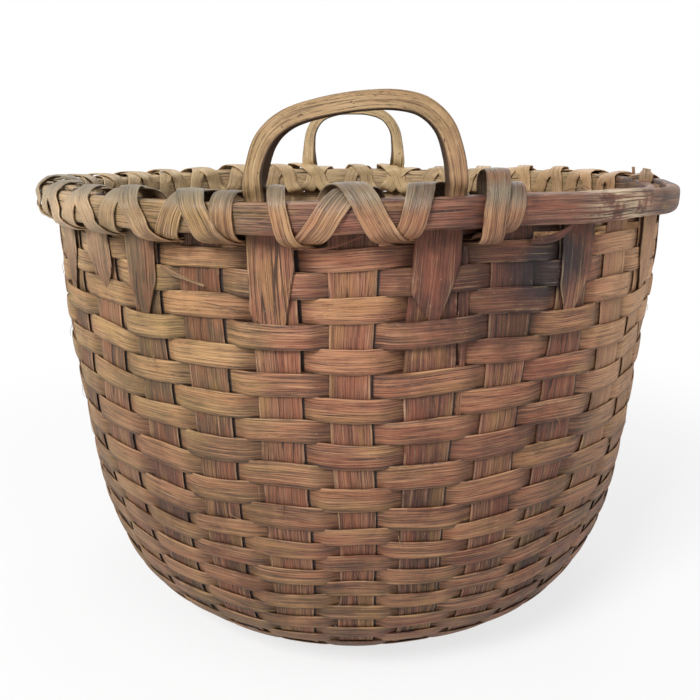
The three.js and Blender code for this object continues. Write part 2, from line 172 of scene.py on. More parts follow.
class Bench:
    """A node tree, with one method that adds any node to it."""

    def __init__(self, tree: bpy.types.NodeTree) -> None:
        """Takes the tree that the nodes go into."""
        self.tree = tree

    def node(
        self,
        kind: str,
        settings: Optional[dict[str, Any]] = None,
        values: Optional[dict[Union[int, str], Any]] = None,
        out: Union[int, str] = 0,
    ) -> Wire:
        """Adds a node, sets it and links it.

        Args:
            kind: The node's type.
            settings: Its properties, which are set first.
            values: Numbers or wires for its input sockets, by name or place.
            out: The output that is wanted, by name or place.

        Returns:
            That output.
        """
        made = self.tree.nodes.new(kind)
        for name, value in (settings or {}).items():
            setattr(made, name, value)
        for key, value in (values or {}).items():
            self._feed(self._socket(made.inputs, key), value)
        if not made.outputs:
            return Wire(self, None)
        return Wire(self, self._socket(made.outputs, out))

    def _socket(self, sockets: Any, key: Union[int, str]) -> bpy.types.NodeSocket:
        """Finds a socket by its place, or by its name among those in use."""
        by_name = (s for s in sockets if s.name == key and s.enabled)
        return sockets[key] if isinstance(key, int) else next(by_name)

    def _feed(self, socket: bpy.types.NodeSocket, value: Any) -> None:
        """Links a wire to a socket, or sets the socket's own value.

        Args:
            socket: The input socket.
            value: A wire, a number for every channel, a colour or another plain value.
        """
        if isinstance(value, Wire):
            self.tree.links.new(value.socket, socket)
        elif hasattr(socket.default_value, "__len__") and isinstance(value, (int, float)):
            socket.default_value = [value] * len(socket.default_value)
        elif socket.type == "RGBA" and len(value) == 3:
            socket.default_value = (*value, 1.0)
        else:
            socket.default_value = value

    def vector(self, x: Value, y: Value, z: Value) -> Wire:
        """Joins three values into a vector."""
        return self.node("ShaderNodeCombineXYZ", values={0: x, 1: y, 2: z})

    def parts(self, vector: Wire) -> tuple[Wire, Wire, Wire]:
        """Splits a vector into its three values."""
        first = self.node("ShaderNodeSeparateXYZ", values={0: vector})
        return tuple(Wire(self, out) for out in first.socket.node.outputs)

    def noise(
        self, vector: Wire, scale: float = 1.0, detail: float = 2.0, rough: float = 0.5
    ) -> Wire:
        """Adds a noise pattern.

        Args:
            vector: Where it is read.
            scale: Its waves per unit of the vector.
            detail: How many finer octaves it has.
            rough: How strong they are.

        Returns:
            The noise, about 0.5 on average.
        """
        values = {"Vector": vector, "Scale": scale, "Detail": detail, "Roughness": rough}
        return self.node("ShaderNodeTexNoise", values=values)

    def mix(self, share: Value, first: Any, second: Any, blend: str = "MIX") -> Wire:
        """Blends two colours.

        Args:
            share: How much of the second there is.
            first: The first colour.
            second: The second colour.
            blend: The way they are blended.

        Returns:
            The blended colour.
        """
        settings = {"data_type": "RGBA", "blend_type": blend}
        values = {"Factor": share, "A": first, "B": second}
        return self.node("ShaderNodeMix", settings, values, "Result")

    def tints(self, body: Wire, layers: Sequence["Layer"]) -> Wire:
        """Lays tints over a colour, one after the other.

        Args:
            body: The colour.
            layers: The tints, each with the share of the surface that has it.

        Returns:
            The tinted colour.
        """
        for share, tint in layers:
            code, most, blend = tint.value
            body = self.mix(share * most, body, colour(code), blend)
        return body


# Finishes

def colour(code: str) -> tuple[float, float, float]:
    """Turns a written colour into the linear values that shaders take.

    Args:
        code: Six hexadecimal digits.

    Returns:
        Red, green and blue, linear.
    """
    channels = [int(code[i : i + 2], 16) / 255 for i in (0, 2, 4)]
    return tuple(c / 12.92 if c <= 0.04045 else ((c + 0.055) / 1.055) ** 2.4 for c in channels)


def new_material(name: str) -> tuple[bpy.types.Material, Bench]:
    """Makes an empty material.

    Args:
        name: Its name.

    Returns:
        The material, and its node tree.
    """
    material = bpy.data.materials.new(name)
    material.use_nodes = True
    material.node_tree.nodes.clear()
    return material, Bench(material.node_tree)


class Tint(Enum):
    """What age and wear lay over the wood, and the painted light and shade: a colour, how much of
    it at most, and the blend.
    """

    REDDENED = ("a05434", 0.3, "MIX")
    YELLOWED = ("a98648", 0.3, "MIX")
    GOLDEN = ("b99a62", 0.55, "MIX")
    ROSY = ("a2644c", 0.3, "MIX")
    DUSKY = ("937a75", 0.112, "MULTIPLY")
    # Painted light: the upper left made lighter, where the lamp's light falls.
    BLEACHED = ("e8cfa6", 0.45, "MIX")
    # Painted shade: darker toward the bottom, where less light falls.
    LOW = ("8a7a70", 0.42, "MULTIPLY")
    # Lighter toward the rear top.
    SUNNED = ("e8ca98", 0.6, "MIX")
    # Painted light: the far right upper wall made lighter, where more light falls.
    FAR_RIGHT = ("dcac7c", 0.51, "MIX")
    STAIN = ("8a7278", 0.75, "MULTIPLY")
    # Near black: a stain, with painted shadow where the hole under the hoop is shaded.
    STAIN_CORE = ("221a1e", 0.873, "MIX")
    WEATHERED = ("696a5b", 0.75, "MIX")
    # Partly scuffs, partly a painted sheen on the outer hoop.
    SCUFFED = ("d3bd9a", 1.0, "MIX")
    # Painted shade in the hollows, with patchy dirt.
    GRIMY = ("6a5650", 1.0, "MULTIPLY")
    TUCKED = ("6e6664", 0.385, "MULTIPLY")
    # Painted highlight along worn strip edges.
    WORN_EDGE = ("d8bb94", 0.21, "MIX")
    PALE_FIBRE = ("dcbd96", 0.27, "MIX")
    SPLIT = ("24160f", 0.85, "MIX")
    PORE = ("35221a", 0.65, "MIX")
    DASH = ("2c1b13", 0.55, "MIX")
    # Painted shadow along each weaver's lower edge.
    LOWER_EDGE = ("66503f", 0.55, "MULTIPLY")
    SPECK = ("dcc3a4", 0.35, "MIX")
    # Painted shadow in the slot where a course comes out from behind a stake.
    SLOT = ("1a1415", 0.95, "MIX")
    # Painted shade on the inner side of a handle's bow.
    BOW_INSIDE = ("5c4a3a", 1.0, "MULTIPLY")
    GREYED = ("958a78", 0.6, "MULTIPLY")
    PIT = ("4a3522", 0.8, "MIX")


Layer = tuple[Wire, Tint]


class Streaks(Enum):
    """Noises along the grain: waves a metre along and across it, seed, detail and roughness."""

    BAND = (7.0, 260.0, 5.0, 3.0, 0.6)
    FIBRE = (17.0, 950.0, 0.0, 2.0, 0.7)
    HAIR = (30.0, 1550.0, 2.0, 2.0, 0.7)
    FLECK = (260.0, 900.0, 9.0, 2.0, 0.7)
    CRACK = (4.0, 150.0, 3.0, 1.0, 0.5)
    DASH = (30.0, 1200.0, 21.0, 2.0, 0.6)
    CAST = (16.0, 60.0, 13.0, 3.0, 0.6)
    PIT = (330.0, 520.0, 31.0, 1.0, 0.5)


class Surface:
    """What a wood reads at a point of its strip, and the noises that its layers share."""

    tone_seed: float = 37.0
    wander: float = 0.004

    def __init__(self, bench: Bench) -> None:
        """Adds the nodes; the UV map is in metres along and across the grain.

        Args:
            bench: The material's tree.
        """
        self.bench = bench
        self.run, self.across, _ = bench.parts(bench.node("ShaderNodeUVMap", {"uv_map": "UVMap"}))
        self.tone, self.crown, self.edge, self.wave, self.slope, self.front = (
            bench.node("ShaderNodeAttribute", {"attribute_name": name}, out="Fac")
            for name in ("tone", "crown", "edge", "wave", "slope", "front")
        )
        self.shift = self.tone * self.tone_seed
        wander = bench.noise(bench.vector(self.run * 11.0, self.across * 14.0, self.shift)) - 0.5
        self.lane = self.across + wander * self.wander
        kinds = (Streaks.BAND, Streaks.FIBRE, Streaks.HAIR, Streaks.FLECK)
        self.band, self.fibre, self.hair, self.fleck = map(self.streaks, kinds)
        self.streak, self.strand = self.fibre.smooth(0.36, 0.64), self.hair.smooth(0.4, 0.6)
        self.stretch = bench.noise(bench.vector(self.run * 17.0, self.shift, 1.0), detail=1.0)
        self.place = bench.node("ShaderNodeTexCoord", out="Object")
        self.blotch = bench.noise(self.place, 30.0, 4.0, 0.65)
        self.cloud = bench.noise(self.place + (4.0, 2.0, 0.0), 7.0, 2.0)
        # Painted shade: darker where a strip lies low in the weave and at its edges; the blotch
        # term adds patchy dirt.
        shade_in_hollows = (1.0 - self.crown) * 0.36 + self.edge.smooth(0.9, 1.0) * 0.12
        self.grime_and_shade = shade_in_hollows + self.blotch.smooth(0.55, 0.35) * 0.25

    def streaks(self, kind: Streaks, straight: bool = False) -> Wire:
        """Adds a noise that is drawn out along the grain.

        Args:
            kind: The noise.
            straight: Keeps it from wandering with the grain.

        Returns:
            The noise.
        """
        along, across, seed, detail, rough = kind.value
        side = (self.across if straight else self.lane) * across
        vector = self.bench.vector(self.run * along, side, self.shift + seed)
        return self.bench.noise(vector, detail=detail, rough=rough)

    def away(self, spot: tuple[float, float, float], ragged: float) -> Wire:
        """Measures how far the surface is from the middle of a patch with a ragged edge."""
        return self.place.math("DISTANCE", spot) + (self.blotch - 0.5) * ragged


@dataclass(frozen=True)
class SplitWood:
    """Old split ash: its colours, its grain along the strip, its wear and its painted light and
    shade.
    """

    name: str
    light: str
    middle: str
    dark: str
    grain: float = 1.0
    roughness: float = 0.62
    patina_and_shade: float = 1.0
    relief: float = 0.0004
    oxide: float = 0.0
    scuffs_and_sheen: float = 0.0
    cracks: float = 0.6
    bow_shade: float = 0.0
    spread: float = 0.45
    golden: float = 0.75
    brushed: float = 1.0
    lower_edge_shade: float = 0.0
    stain_spot: tuple[float, float, float] = (0.078, -0.208, 0.272)
    stain_shadow_spot: tuple[float, float, float] = (0.103, -0.198, 0.281)
    scuff_sheen_spot: tuple[float, float, float] = (0.147, -0.182, 0.312)

    def make(self) -> bpy.types.Material:
        """Builds the material.

        Returns:
            The material.
        """
        material, bench = new_material(self.name)
        at = Surface(bench)
        marks_and_shadows, hollow = self._marks_and_shadows(at)
        body = bench.tints(self._ground(at), [*self._patina_and_painted_light(at), *self._wear_and_painted_light(at), *marks_and_shadows])
        height = at.streak * 0.45 + at.band * 0.3 + at.strand * 0.25 - hollow
        bump = {"Strength": 1.0, "Distance": self.relief, "Height": height}
        dull = self.roughness + (at.fibre - 0.5) * 0.4 + at.grime_and_shade * 0.15
        looks = {
            "Base Color": body, "Roughness": dull.math("ADD", 0.0, clamp=True),
            "Normal": bench.node("ShaderNodeBump", values=bump), "Specular IOR Level": 0.4,
        }
        shader = bench.node("ShaderNodeBsdfPrincipled", values=looks)
        bench.node("ShaderNodeOutputMaterial", values={"Surface": shader})
        return material

    def _ground(self, at: Surface) -> Wire:
        """Mixes the colour of the clean wood.

        Args:
            at: The surface.

        Returns:
            The colour.
        """
        weights = (
            (at.streak, 0.34 * self.grain), (at.band, 0.9), (at.strand, 0.42 * self.grain),
            (at.tone, self.spread), (at.stretch, 0.8), (at.blotch, 1.1 * self.patina_and_shade),
        )
        shade = sum((noise - 0.5) * weight for noise, weight in weights) + 0.5
        body = at.bench.mix(shade.smooth(0.0, 1.0), colour(self.dark), colour(self.light))
        middling = abs(shade - 0.5).smooth(0.0, 0.4, 0.4, 0.0)
        return at.bench.mix(middling, body, colour(self.middle))

    def _patina_and_painted_light(self, at: Surface) -> list[Layer]:
        """Lists the large tints: golden to the left, red in the middle, dark to the right, painted
        light and shade, a stain, oxide and scuffs with a painted sheen.

        Args:
            at: The surface.

        Returns:
            The layers from the wood up.
        """
        x, y, z = at.bench.parts(at.place)
        age_and_shade = min(self.patina_and_shade, 1.0)
        cast = at.streaks(Streaks.CAST, straight=True)
        side = (x * 3.0 + (at.cloud - 0.5) * 1.6 + y * 0.6) * self.patina_and_shade
        middle = 1.0 - abs(side).smooth(0.2, 0.9)
        # Painted light: the far right upper wall is made lighter, where more light falls.
        far = x.smooth(0.125, 0.17) * z.smooth(0.08, 0.24)
        layers = [
            (cast.smooth(0.5, 0.6) * self.patina_and_shade, Tint.REDDENED),
            (cast.smooth(0.48, 0.38) * self.patina_and_shade, Tint.YELLOWED),
            (side.smooth(-0.1, -0.7) * self.golden, Tint.GOLDEN),
            (at.cloud.smooth(0.4, 0.6) * middle * z.smooth(0.04, 0.2), Tint.ROSY),
            (side.smooth(0.1, 0.8), Tint.DUSKY),
            # Painted light at the upper left.
            (x.smooth(-0.1, -0.19) * z.smooth(0.255, 0.315), Tint.BLEACHED),
            # Painted shade toward the bottom.
            (z.smooth(0.27, 0.1) * age_and_shade, Tint.LOW),
            # Lighter toward the rear top.
            (y.smooth(0.0, 0.12) * z.smooth(0.22, 0.3), Tint.SUNNED),
            (far * (1.0 - self.scuffs_and_sheen), Tint.FAR_RIGHT),
            (at.away(self.stain_spot, 0.05).smooth(0.058, 0.018) * age_and_shade, Tint.STAIN),
            # A stain's near-black core, partly painted shadow of the hole under the hoop.
            (at.away(self.stain_shadow_spot, 0.02).smooth(0.030, 0.012) * age_and_shade, Tint.STAIN_CORE),
        ]
        if self.oxide:
            weathered = z.smooth(0.311, 0.3225) * at.blotch.smooth(0.25, 0.5)
            layers.append((weathered * y.smooth(0.02, -0.06) * self.oxide, Tint.WEATHERED))
        if self.scuffs_and_sheen:
            # Scuffs and a painted sheen on the outer hoop.
            scuff_and_sheen = at.away(self.scuff_sheen_spot, 0.03).smooth(0.045, 0.010) * at.streak.smooth(0.2, 0.7)
            layers.append((scuff_and_sheen * at.blotch.smooth(0.42, 0.5) * self.scuffs_and_sheen, Tint.SCUFFED))
        return layers

    def _wear_and_painted_light(self, at: Surface) -> list[Layer]:
        """Lists the grime and painted shade in the hollows, the worn edges with a painted highlight
        and the pale brushed fibres.

        Args:
            at: The surface.

        Returns:
            The layers.
        """
        tucked = at.slope.smooth(-0.35, -0.9) * at.wave.smooth(0.6, -0.1)
        # Painted highlight: a thin light line near the edges of the raised crowns, where the edges
        # are worn.
        worn_and_lit_edge = at.edge.smooth(0.88, 0.94) * at.edge.smooth(0.995, 0.97) * at.crown
        pale = at.fibre.smooth(0.56, 0.7) * at.crown.smooth(0.3, 1.0) * self.brushed
        return [
            # Painted shade in the hollows, with patchy dirt.
            (at.grime_and_shade.math("MINIMUM", 1.0), Tint.GRIMY),
            (tucked * at.blotch.smooth(0.4, 0.56), Tint.TUCKED),
            (worn_and_lit_edge * at.blotch.smooth(0.42, 0.52), Tint.WORN_EDGE),
            (pale * (at.fleck.smooth(0.4, 0.65) * 0.6 + 0.4), Tint.PALE_FIBRE),
        ]

    def _marks_and_shadows(self, at: Surface) -> tuple[list[Layer], Wire]:
        """Lists the splits, the pores, and painted shadows: in the slots where a course dives
        inside, along a weaver's lower edge and inside a handle's bow.

        Args:
            at: The surface.

        Returns:
            The layers, and how deep the splits and the pores are.
        """
        crack = abs(at.streaks(Streaks.CRACK) - 0.5).smooth(0.003, 0.012, 1.0, 0.0)
        split = crack * at.stretch.smooth(0.44, 0.54) * self.cracks
        pores = at.hair.smooth(0.46, 0.34) * at.fleck.smooth(0.38, 0.56)
        dash = at.streaks(Streaks.DASH).smooth(0.37, 0.31) * self.cracks
        # Painted shadow: near black in the slot beside a stake where a course comes out from behind
        # it, on the front face.
        slot = at.wave.smooth(-0.47, -0.53) * at.slope.smooth(0.3, 0.6)
        layers = [
            (split, Tint.SPLIT), (pores, Tint.PORE), (dash, Tint.DASH),
            # Painted shadow along each weaver's lower edge.
            ((at.across * self.lower_edge_shade).smooth(0.0042, 0.0068), Tint.LOWER_EDGE),
            (at.fleck.smooth(0.68, 0.78) * at.crown, Tint.SPECK),
            (slot * at.front.smooth(-0.2, 0.2), Tint.SLOT),
        ]
        if self.bow_shade:
            above = at.bench.parts(at.place)[2].smooth(0.31, 0.33)
            # Painted shade on the inner side of a handle's bow, above the rim.
            inside = at.across.smooth(-0.0036, -0.0044) * above * self.bow_shade
            layers += [
                (inside, Tint.BOW_INSIDE),
                (at.edge.smooth(0.7, 1.0) * at.blotch.smooth(0.3, 0.55), Tint.GREYED),
                (at.streaks(Streaks.PIT, straight=True).smooth(0.7, 0.76), Tint.PIT),
            ]
        return layers, split + pores * 0.3 + dash * 0.4


class Slot(Enum):
    """The record's material slots."""

    STAKE = "stake_wood"
    WEAVER = "weaver_wood"
    HOOP = "hoop_wood"
    LASHING = "lashing_wood"
    HANDLE = "handle_wood"


class Finishes:
    """The basket's woods, each made once."""

    woods: dict[Slot, SplitWood] = {
        Slot.STAKE: SplitWood(
            "old_stake_ash", "94664b", "6f4636", "38221a",
            grain=1.3, spread=0.9, golden=0.28, cracks=1.0,
        ),
        Slot.WEAVER: SplitWood(
            "old_weaver_ash", "b5835c", "8a5940", "492e21",
            grain=1.3, roughness=0.58, lower_edge_shade=1.0,
        ),
        Slot.HOOP: SplitWood(
            "old_hoop_ash", "86614d", "5e4032", "2e1f1a",
            grain=1.7, roughness=0.5, scuffs_and_sheen=0.9, brushed=0.35, cracks=1.0,
        ),
        Slot.LASHING: SplitWood(
            "old_lashing_ash", "b9946a", "8b6a46", "523823",
            grain=1.1, roughness=0.38, patina_and_shade=0.55, oxide=0.85, cracks=0.3, brushed=0.45,
        ),
        Slot.HANDLE: SplitWood(
            "old_handle_ash", "c3a87e", "aa8b61", "846541",
            grain=0.5, roughness=0.52, patina_and_shade=0.25, cracks=0.8, bow_shade=0.9, brushed=0.3,
        ),
    }

    def __init__(self) -> None:
        """Makes the materials."""
        self.made = {slot: wood.make() for slot, wood in self.woods.items()}

    def of(self, slot: Slot) -> bpy.types.Material:
        """Returns the material of a slot."""
        return self.made[slot]


# Shape of the basket

@dataclass(frozen=True)
class Form:
    """The wall's shape and the places of its stakes and courses, in metres."""

    stake_radius: float = 0.2214
    rim_height: float = 0.320
    base_radius: float = 0.117
    base_drop: float = 0.3183
    stake_count: int = 32
    first_angle: float = -0.0087
    waist: float = 0.0092
    spacing_share: float = 0.6
    crossing_radius: float = 0.078
    rim_course: tuple[float, float] = (0.0038, 0.016)
    lash_slot: float = 0.025
    first_width: float = 0.011
    wall_width: float = 0.014
    bend_width: float = 0.0101
    counts: tuple[int, int, int, int] = (11, 10, 5, 3)
    side_gap: float = 0.0006
    look_ahead: float = 0.004
    curve_steps: int = 60
    wall_shares: tuple[tuple[float, float], ...] = (
        (0, 0), (0.004, 0.19), (0.03, 0.42), (0.086, 0.62), (0.176, 0.78),
        (0.29, 0.875), (0.465, 0.938), (0.73, 0.982), (1, 1),
    )

    @property
    def stake_angle(self) -> float:
        """Turn from one stake to the next."""
        return 2 * math.pi / self.stake_count

    @cached_property
    def _table(self) -> tuple[Array, Array]:
        """Lengths along the wall, and the point at each, out and down from the rim."""
        fall = np.array(self.wall_shares)
        corners = np.column_stack((
            self.stake_radius - fall[:, 0] * (self.stake_radius - self.base_radius),
            fall[:, 1] * self.base_drop,
        ))
        line = smooth_line(corners, self.curve_steps, uniform=True)
        steps = np.linalg.norm(np.diff(line, axis=0), axis=1)
        return np.concatenate(([0.0], np.cumsum(steps))), line

    @property
    def wall_length(self) -> float:
        """Length of the wall from the rim to the flat of the base."""
        return float(self._table[0][-1])

    def point(self, along: Array) -> Array:
        """Gives the wall's middle line.

        Args:
            along: Lengths from the rim top, along the wall and on under the base.

        Returns:
            For each, how far out it is and how high it stands.
        """
        lengths, line = self._table
        along = np.atleast_1d(np.asarray(along, float))
        out = np.interp(along, lengths, line[:, 0])
        drop = np.interp(along, lengths, line[:, 1])
        out = out - np.clip(along - self.wall_length, 0, None)
        return np.column_stack((out, self.rim_height - drop))

    def normal(self, along: Array) -> Array:
        """Gives the outward direction of the wall.

        Args:
            along: Lengths from the rim top.

        Returns:
            For each, how far the direction goes out and up.
        """
        ahead = self.point(np.asarray(along) + self.look_ahead)
        behind = self.point(np.clip(np.asarray(along) - self.look_ahead, 0, None))
        way = ahead - behind
        way /= np.linalg.norm(way, axis=1)[:, None]
        return np.column_stack((-way[:, 1], way[:, 0]))

    def off_wall(self, along: float, lift: float, least: float = 0.0) -> tuple[Array, Array]:
        """Gives a point off the wall's middle line.

        Args:
            along: Length from the rim top, along the wall.
            lift: How far outward the point is.
            least: The least length at which the outward direction is read.

        Returns:
            The point and the outward direction, both out and up.
        """
        (point,) = self.point(max(along, 0))
        (normal,) = self.normal(max(along, least))
        return point + normal * lift, normal

    def half_width(self, radius: float) -> float:
        """Gives half the width of a stake at a radius."""
        wide = 2 * abs(radius) * math.tan(self.stake_angle / 2) * self.spacing_share
        return max(self.waist, wide) / 2

    def courses(self) -> list[tuple[float, float]]:
        """Lists the courses.

        Returns:
            Where each begins and ends along the wall, from the rim down.
        """
        walls, bends, shoulders, flats = self.counts
        gap = self.side_gap / 2
        start = self.lash_slot + self.first_width
        spans = [self.rim_course, (self.lash_slot, start - gap)]
        left = self.wall_length - start - walls * self.wall_width - bends * self.bend_width
        flat = (self.base_radius - self.crossing_radius) / flats
        widths = (self.wall_width, self.bend_width, left / shoulders, flat)
        for count, width in zip(self.counts, widths):
            for _ in range(count):
                spans.append((start + gap, start + width - gap))
                start += width
        return spans

    def at(self, angle: float, out: float, side: float, up: float) -> Vector:
        """Gives a point in the frame of an angle round the basket.

        Args:
            angle: Turn from the near side toward the right.
            out: Distance from the axis.
            side: Distance to the side.
            up: Height over the floor.

        Returns:
            The point.
        """
        c, s = math.cos(angle), math.sin(angle)
        return Vector((side * c + out * s, side * s - out * c, up))

    def angle_of(self, stake: float) -> float:
        """Turns a place counted in stakes into an angle."""
        return self.first_angle + stake * self.stake_angle


def smooth_line(points: Array, steps: int, uniform: bool = False) -> Array:
    """Draws a smooth curve through points.

    Args:
        points: The points, one row each.
        steps: Points on each stretch of the curve.
        uniform: Spaces the curve's knots evenly, else by the distance between the points.

    Returns:
        The points of the curve.
    """
    points = np.asarray(points, float)
    ends = np.vstack((2 * points[0] - points[1], points, 2 * points[-1] - points[-2]))
    share = np.linspace(0, 1, steps, endpoint=False)[:, None]
    rows = []
    for a, b, c, d in zip(ends[:-3], ends[1:-2], ends[2:-1], ends[3:]):
        if uniform:
            m1, m2 = (c - a) / 2, (d - b) / 2
        else:
            pairs = ((a, b), (b, c), (c, d))
            g0, g1, g2 = (max(np.linalg.norm(q[:3] - p[:3]), 1e-6) ** 0.5 for p, q in pairs)
            m1 = g1 * ((b - a) / g0 - (c - a) / (g0 + g1) + (c - b) / g1)
            m2 = g1 * ((c - b) / g1 - (d - b) / (g1 + g2) + (d - c) / g2)
        t2, t3 = share**2, share**3
        start = (2 * t3 - 3 * t2 + 1) * b + (t3 - 2 * t2 + share) * m1
        rows.append(start + (3 * t2 - 2 * t3) * c + (t3 - t2) * m2)
    return np.vstack((*rows, points[-1:]))


@dataclass(frozen=True)
class Ripple:
    """A slow wave round the basket: its size, its turns and how fast it shifts with the height."""

    size: float
    turns: int
    climb: float
    calm: bool = False
    anchored: bool = False


@dataclass(frozen=True)
class Settling:
    """How the old basket has gone out of true: slow waves that move every piece alike.

    A calm ripple dies down toward the rim, and an anchored one leaves the rim where it is.
    """

    swell: float = 0.0012
    sag: float = 0.0011
    twist: float = 0.0012
    lean: float = 0.0014
    slide: float = 0.0024
    dip: float = 0.0005
    gather: float = 0.03
    gather_from: float = 0.23
    gather_over: float = 0.3
    rim: float = 0.32
    bow_foot: float = 0.004
    bow_rise: float = 0.025
    still_radius: float = 0.2
    still_height: float = 0.08
    rim_share: float = 0.3
    calm_depth: float = 0.05
    swells: tuple[Ripple, ...] = (
        Ripple(1.0, 3, 0.0), Ripple(0.7, 7, 31.0, calm=True), Ripple(0.5, 13, -47.0, calm=True),
    )
    sags: tuple[Ripple, ...] = (
        Ripple(1.0, 4, 0.0), Ripple(0.8, 9, 22.0, calm=True), Ripple(0.5, 17, -36.0, calm=True),
    )
    twists: tuple[Ripple, ...] = (
        Ripple(0.7, 13, 19.0), Ripple(1.0, 5, 19.0, anchored=True),
        Ripple(0.7, 11, -43.0, anchored=True),
    )

    def move(self, points: Array) -> Array:
        """Moves points with the basket.

        Args:
            points: Points of a piece, one row each.

        Returns:
            The moved points.
        """
        x, y, z = points.T
        angle = np.arctan2(x, -y)
        side, front = np.sin(angle), np.clip(np.cos(angle), 0, 1)
        reach = np.hypot(x, y)
        drop = z - self.rim
        risen = np.clip(z / self.rim, 0, 1)
        share = np.clip(reach / self.still_radius, 0, 1) * np.clip(z / self.still_height, 0, 1)
        share *= np.clip(1 - (drop - self.bow_foot) / self.bow_rise, 0, 1)
        out = self.swell * share * self._waves(self.swells, angle, drop)
        out += self.slide * risen**3 * share * side * np.abs(side)
        tilt = self.lean * (0.4 * side + 0.9 * np.sin(2 * angle) * front)
        up = tilt * share * risen**2
        up += share * (self.sag * self._waves(self.sags, angle, drop) - self.dip * front**2)
        along = self.twist * share * self._waves(self.twists, angle, drop)
        gathered = np.clip((np.abs(side) - self.gather_from) / self.gather_over, 0, 1)
        along -= self.gather * reach * share * side * gathered
        way = np.where(reach > 1e-6, 1 / np.maximum(reach, 1e-6), 0)
        moved = points.copy()
        moved[:, 0] += (out * x - along * y) * way
        moved[:, 1] += (out * y + along * x) * way
        moved[:, 2] += up
        return moved

    def _waves(self, ripples: Sequence[Ripple], angle: Array, drop: Array) -> Array:
        """Adds up ripples.

        Args:
            ripples: The ripples.
            angle: Each point's turn round the basket.
            drop: How far it is over the rim.

        Returns:
            The sum at each point.
        """
        quick = self.rim_share + (1 - self.rim_share) * np.clip(-drop / self.calm_depth, 0, 1)
        total = np.zeros_like(angle)
        for ripple in ripples:
            wave = np.sin(ripple.turns * angle + ripple.climb * drop)
            if ripple.anchored:
                wave -= np.sin(ripple.turns * angle)
            total += ripple.size * wave * (quick if ripple.calm else 1.0)
        return total


# Strips

def clamp(value: float, low: float = 0.0, high: float = 1.0) -> float:
    """Keeps a value between two others."""
    return min(max(value, low), high)


def neighbours(row: Sequence[Any], place: int) -> tuple[Any, Any]:
    """Gives what stands before and after a place in a row, or the row's own ends."""
    return row[max(place - 1, 0)], row[min(place + 1, len(row) - 1)]


@dataclass
class Path:
    """The middle line of a strip, with its directions and sizes at each point."""

    points: list[Vector] = field(default_factory=list)
    across: list[Vector] = field(default_factory=list)
    up: list[Vector] = field(default_factory=list)
    half: list[float] = field(default_factory=list)
    deep: list[float] = field(default_factory=list)
    crown: list[float] = field(default_factory=list)
    shift: list[float] = field(default_factory=list)

    def add(
        self, point: Vector, across: Vector, up: Vector,
        half: float, deep: float, crown: float, shift: float = 0.0,
    ) -> None:
        """Adds one point.

        Args:
            point: Where the middle of the strip is.
            across: The direction across it.
            up: The direction out of its face.
            half: Half its width.
            deep: Half its thickness.
            crown: How far it stands out from the weave, 0 to 1.
            shift: How far the middle has moved across the grain.
        """
        self.points.append(point)
        self.across.append(across.normalized())
        self.up.append(up.normalized())
        self.half.append(half)
        self.deep.append(deep)
        self.crown.append(crown)
        self.shift.append(shift)


SKIN_VALUES = ("Round Out", "Round In", "Cup", "Wear", "Tone")


def declare(
    tree: bpy.types.NodeTree, values: Sequence[str], counts: Sequence[str]
) -> dict[str, str]:
    """Gives a tree its named inputs, a shape and a material among them, and its one output.

    Args:
        tree: The tree.
        values: Names of its inputs that are lengths or shares.
        counts: Names of those that are whole numbers.

    Returns:
        Each input's identifier by its name.
    """
    kinds = {"Geometry": "NodeSocketGeometry"}
    kinds.update({name: "NodeSocketFloat" for name in values})
    kinds.update({name: "NodeSocketInt" for name in counts})
    kinds["Material"] = "NodeSocketMaterial"
    make = tree.interface.new_socket
    made = {name: make(name, in_out="INPUT", socket_type=kind) for name, kind in kinds.items()}
    make("Geometry", in_out="OUTPUT", socket_type="NodeSocketGeometry")
    return {name: socket.identifier for name, socket in made.items()}


def group_inputs(bench: Bench) -> dict[str, Wire]:
    """Adds the tree's input node and returns its sockets by name."""
    first = bench.node("NodeGroupInput")
    return {s.name: Wire(bench, s) for s in first.socket.node.outputs if s.name}


def store(
    bench: Bench, shape: Wire, kept: dict[str, Wire], kind: str = "FLOAT", domain: str = "POINT"
) -> Wire:
    """Keeps values on a shape under their names.

    Args:
        bench: The tree.
        shape: The shape.
        kept: The values by name.
        kind: Their type.
        domain: What they are kept on.

    Returns:
        The shape with the values.
    """
    settings = {"data_type": kind, "domain": domain}
    for name, value in kept.items():
        values = {"Geometry": shape, "Name": name, "Value": value}
        shape = bench.node("GeometryNodeStoreNamedAttribute", settings, values)
    return shape


def named(bench: Bench, name: str, kind: str = "FLOAT") -> Wire:
    """Reads a value that a shape keeps under a name."""
    kinds = {"data_type": kind}
    return bench.node("GeometryNodeInputNamedAttribute", kinds, {"Name": name}, "Attribute")


class Waver(Enum):
    """Noises of a worn strip: waves a metre and across it, seed, detail and strength."""

    SWAY = (28.0, 0.8, 0.0, 2.0, 0.55)
    NIBBLE = (160.0, 0.8, 7.0, 2.0, 0.22)
    RIPPLE = (55.0, 1.2, 3.0, 1.0, 0.0009)


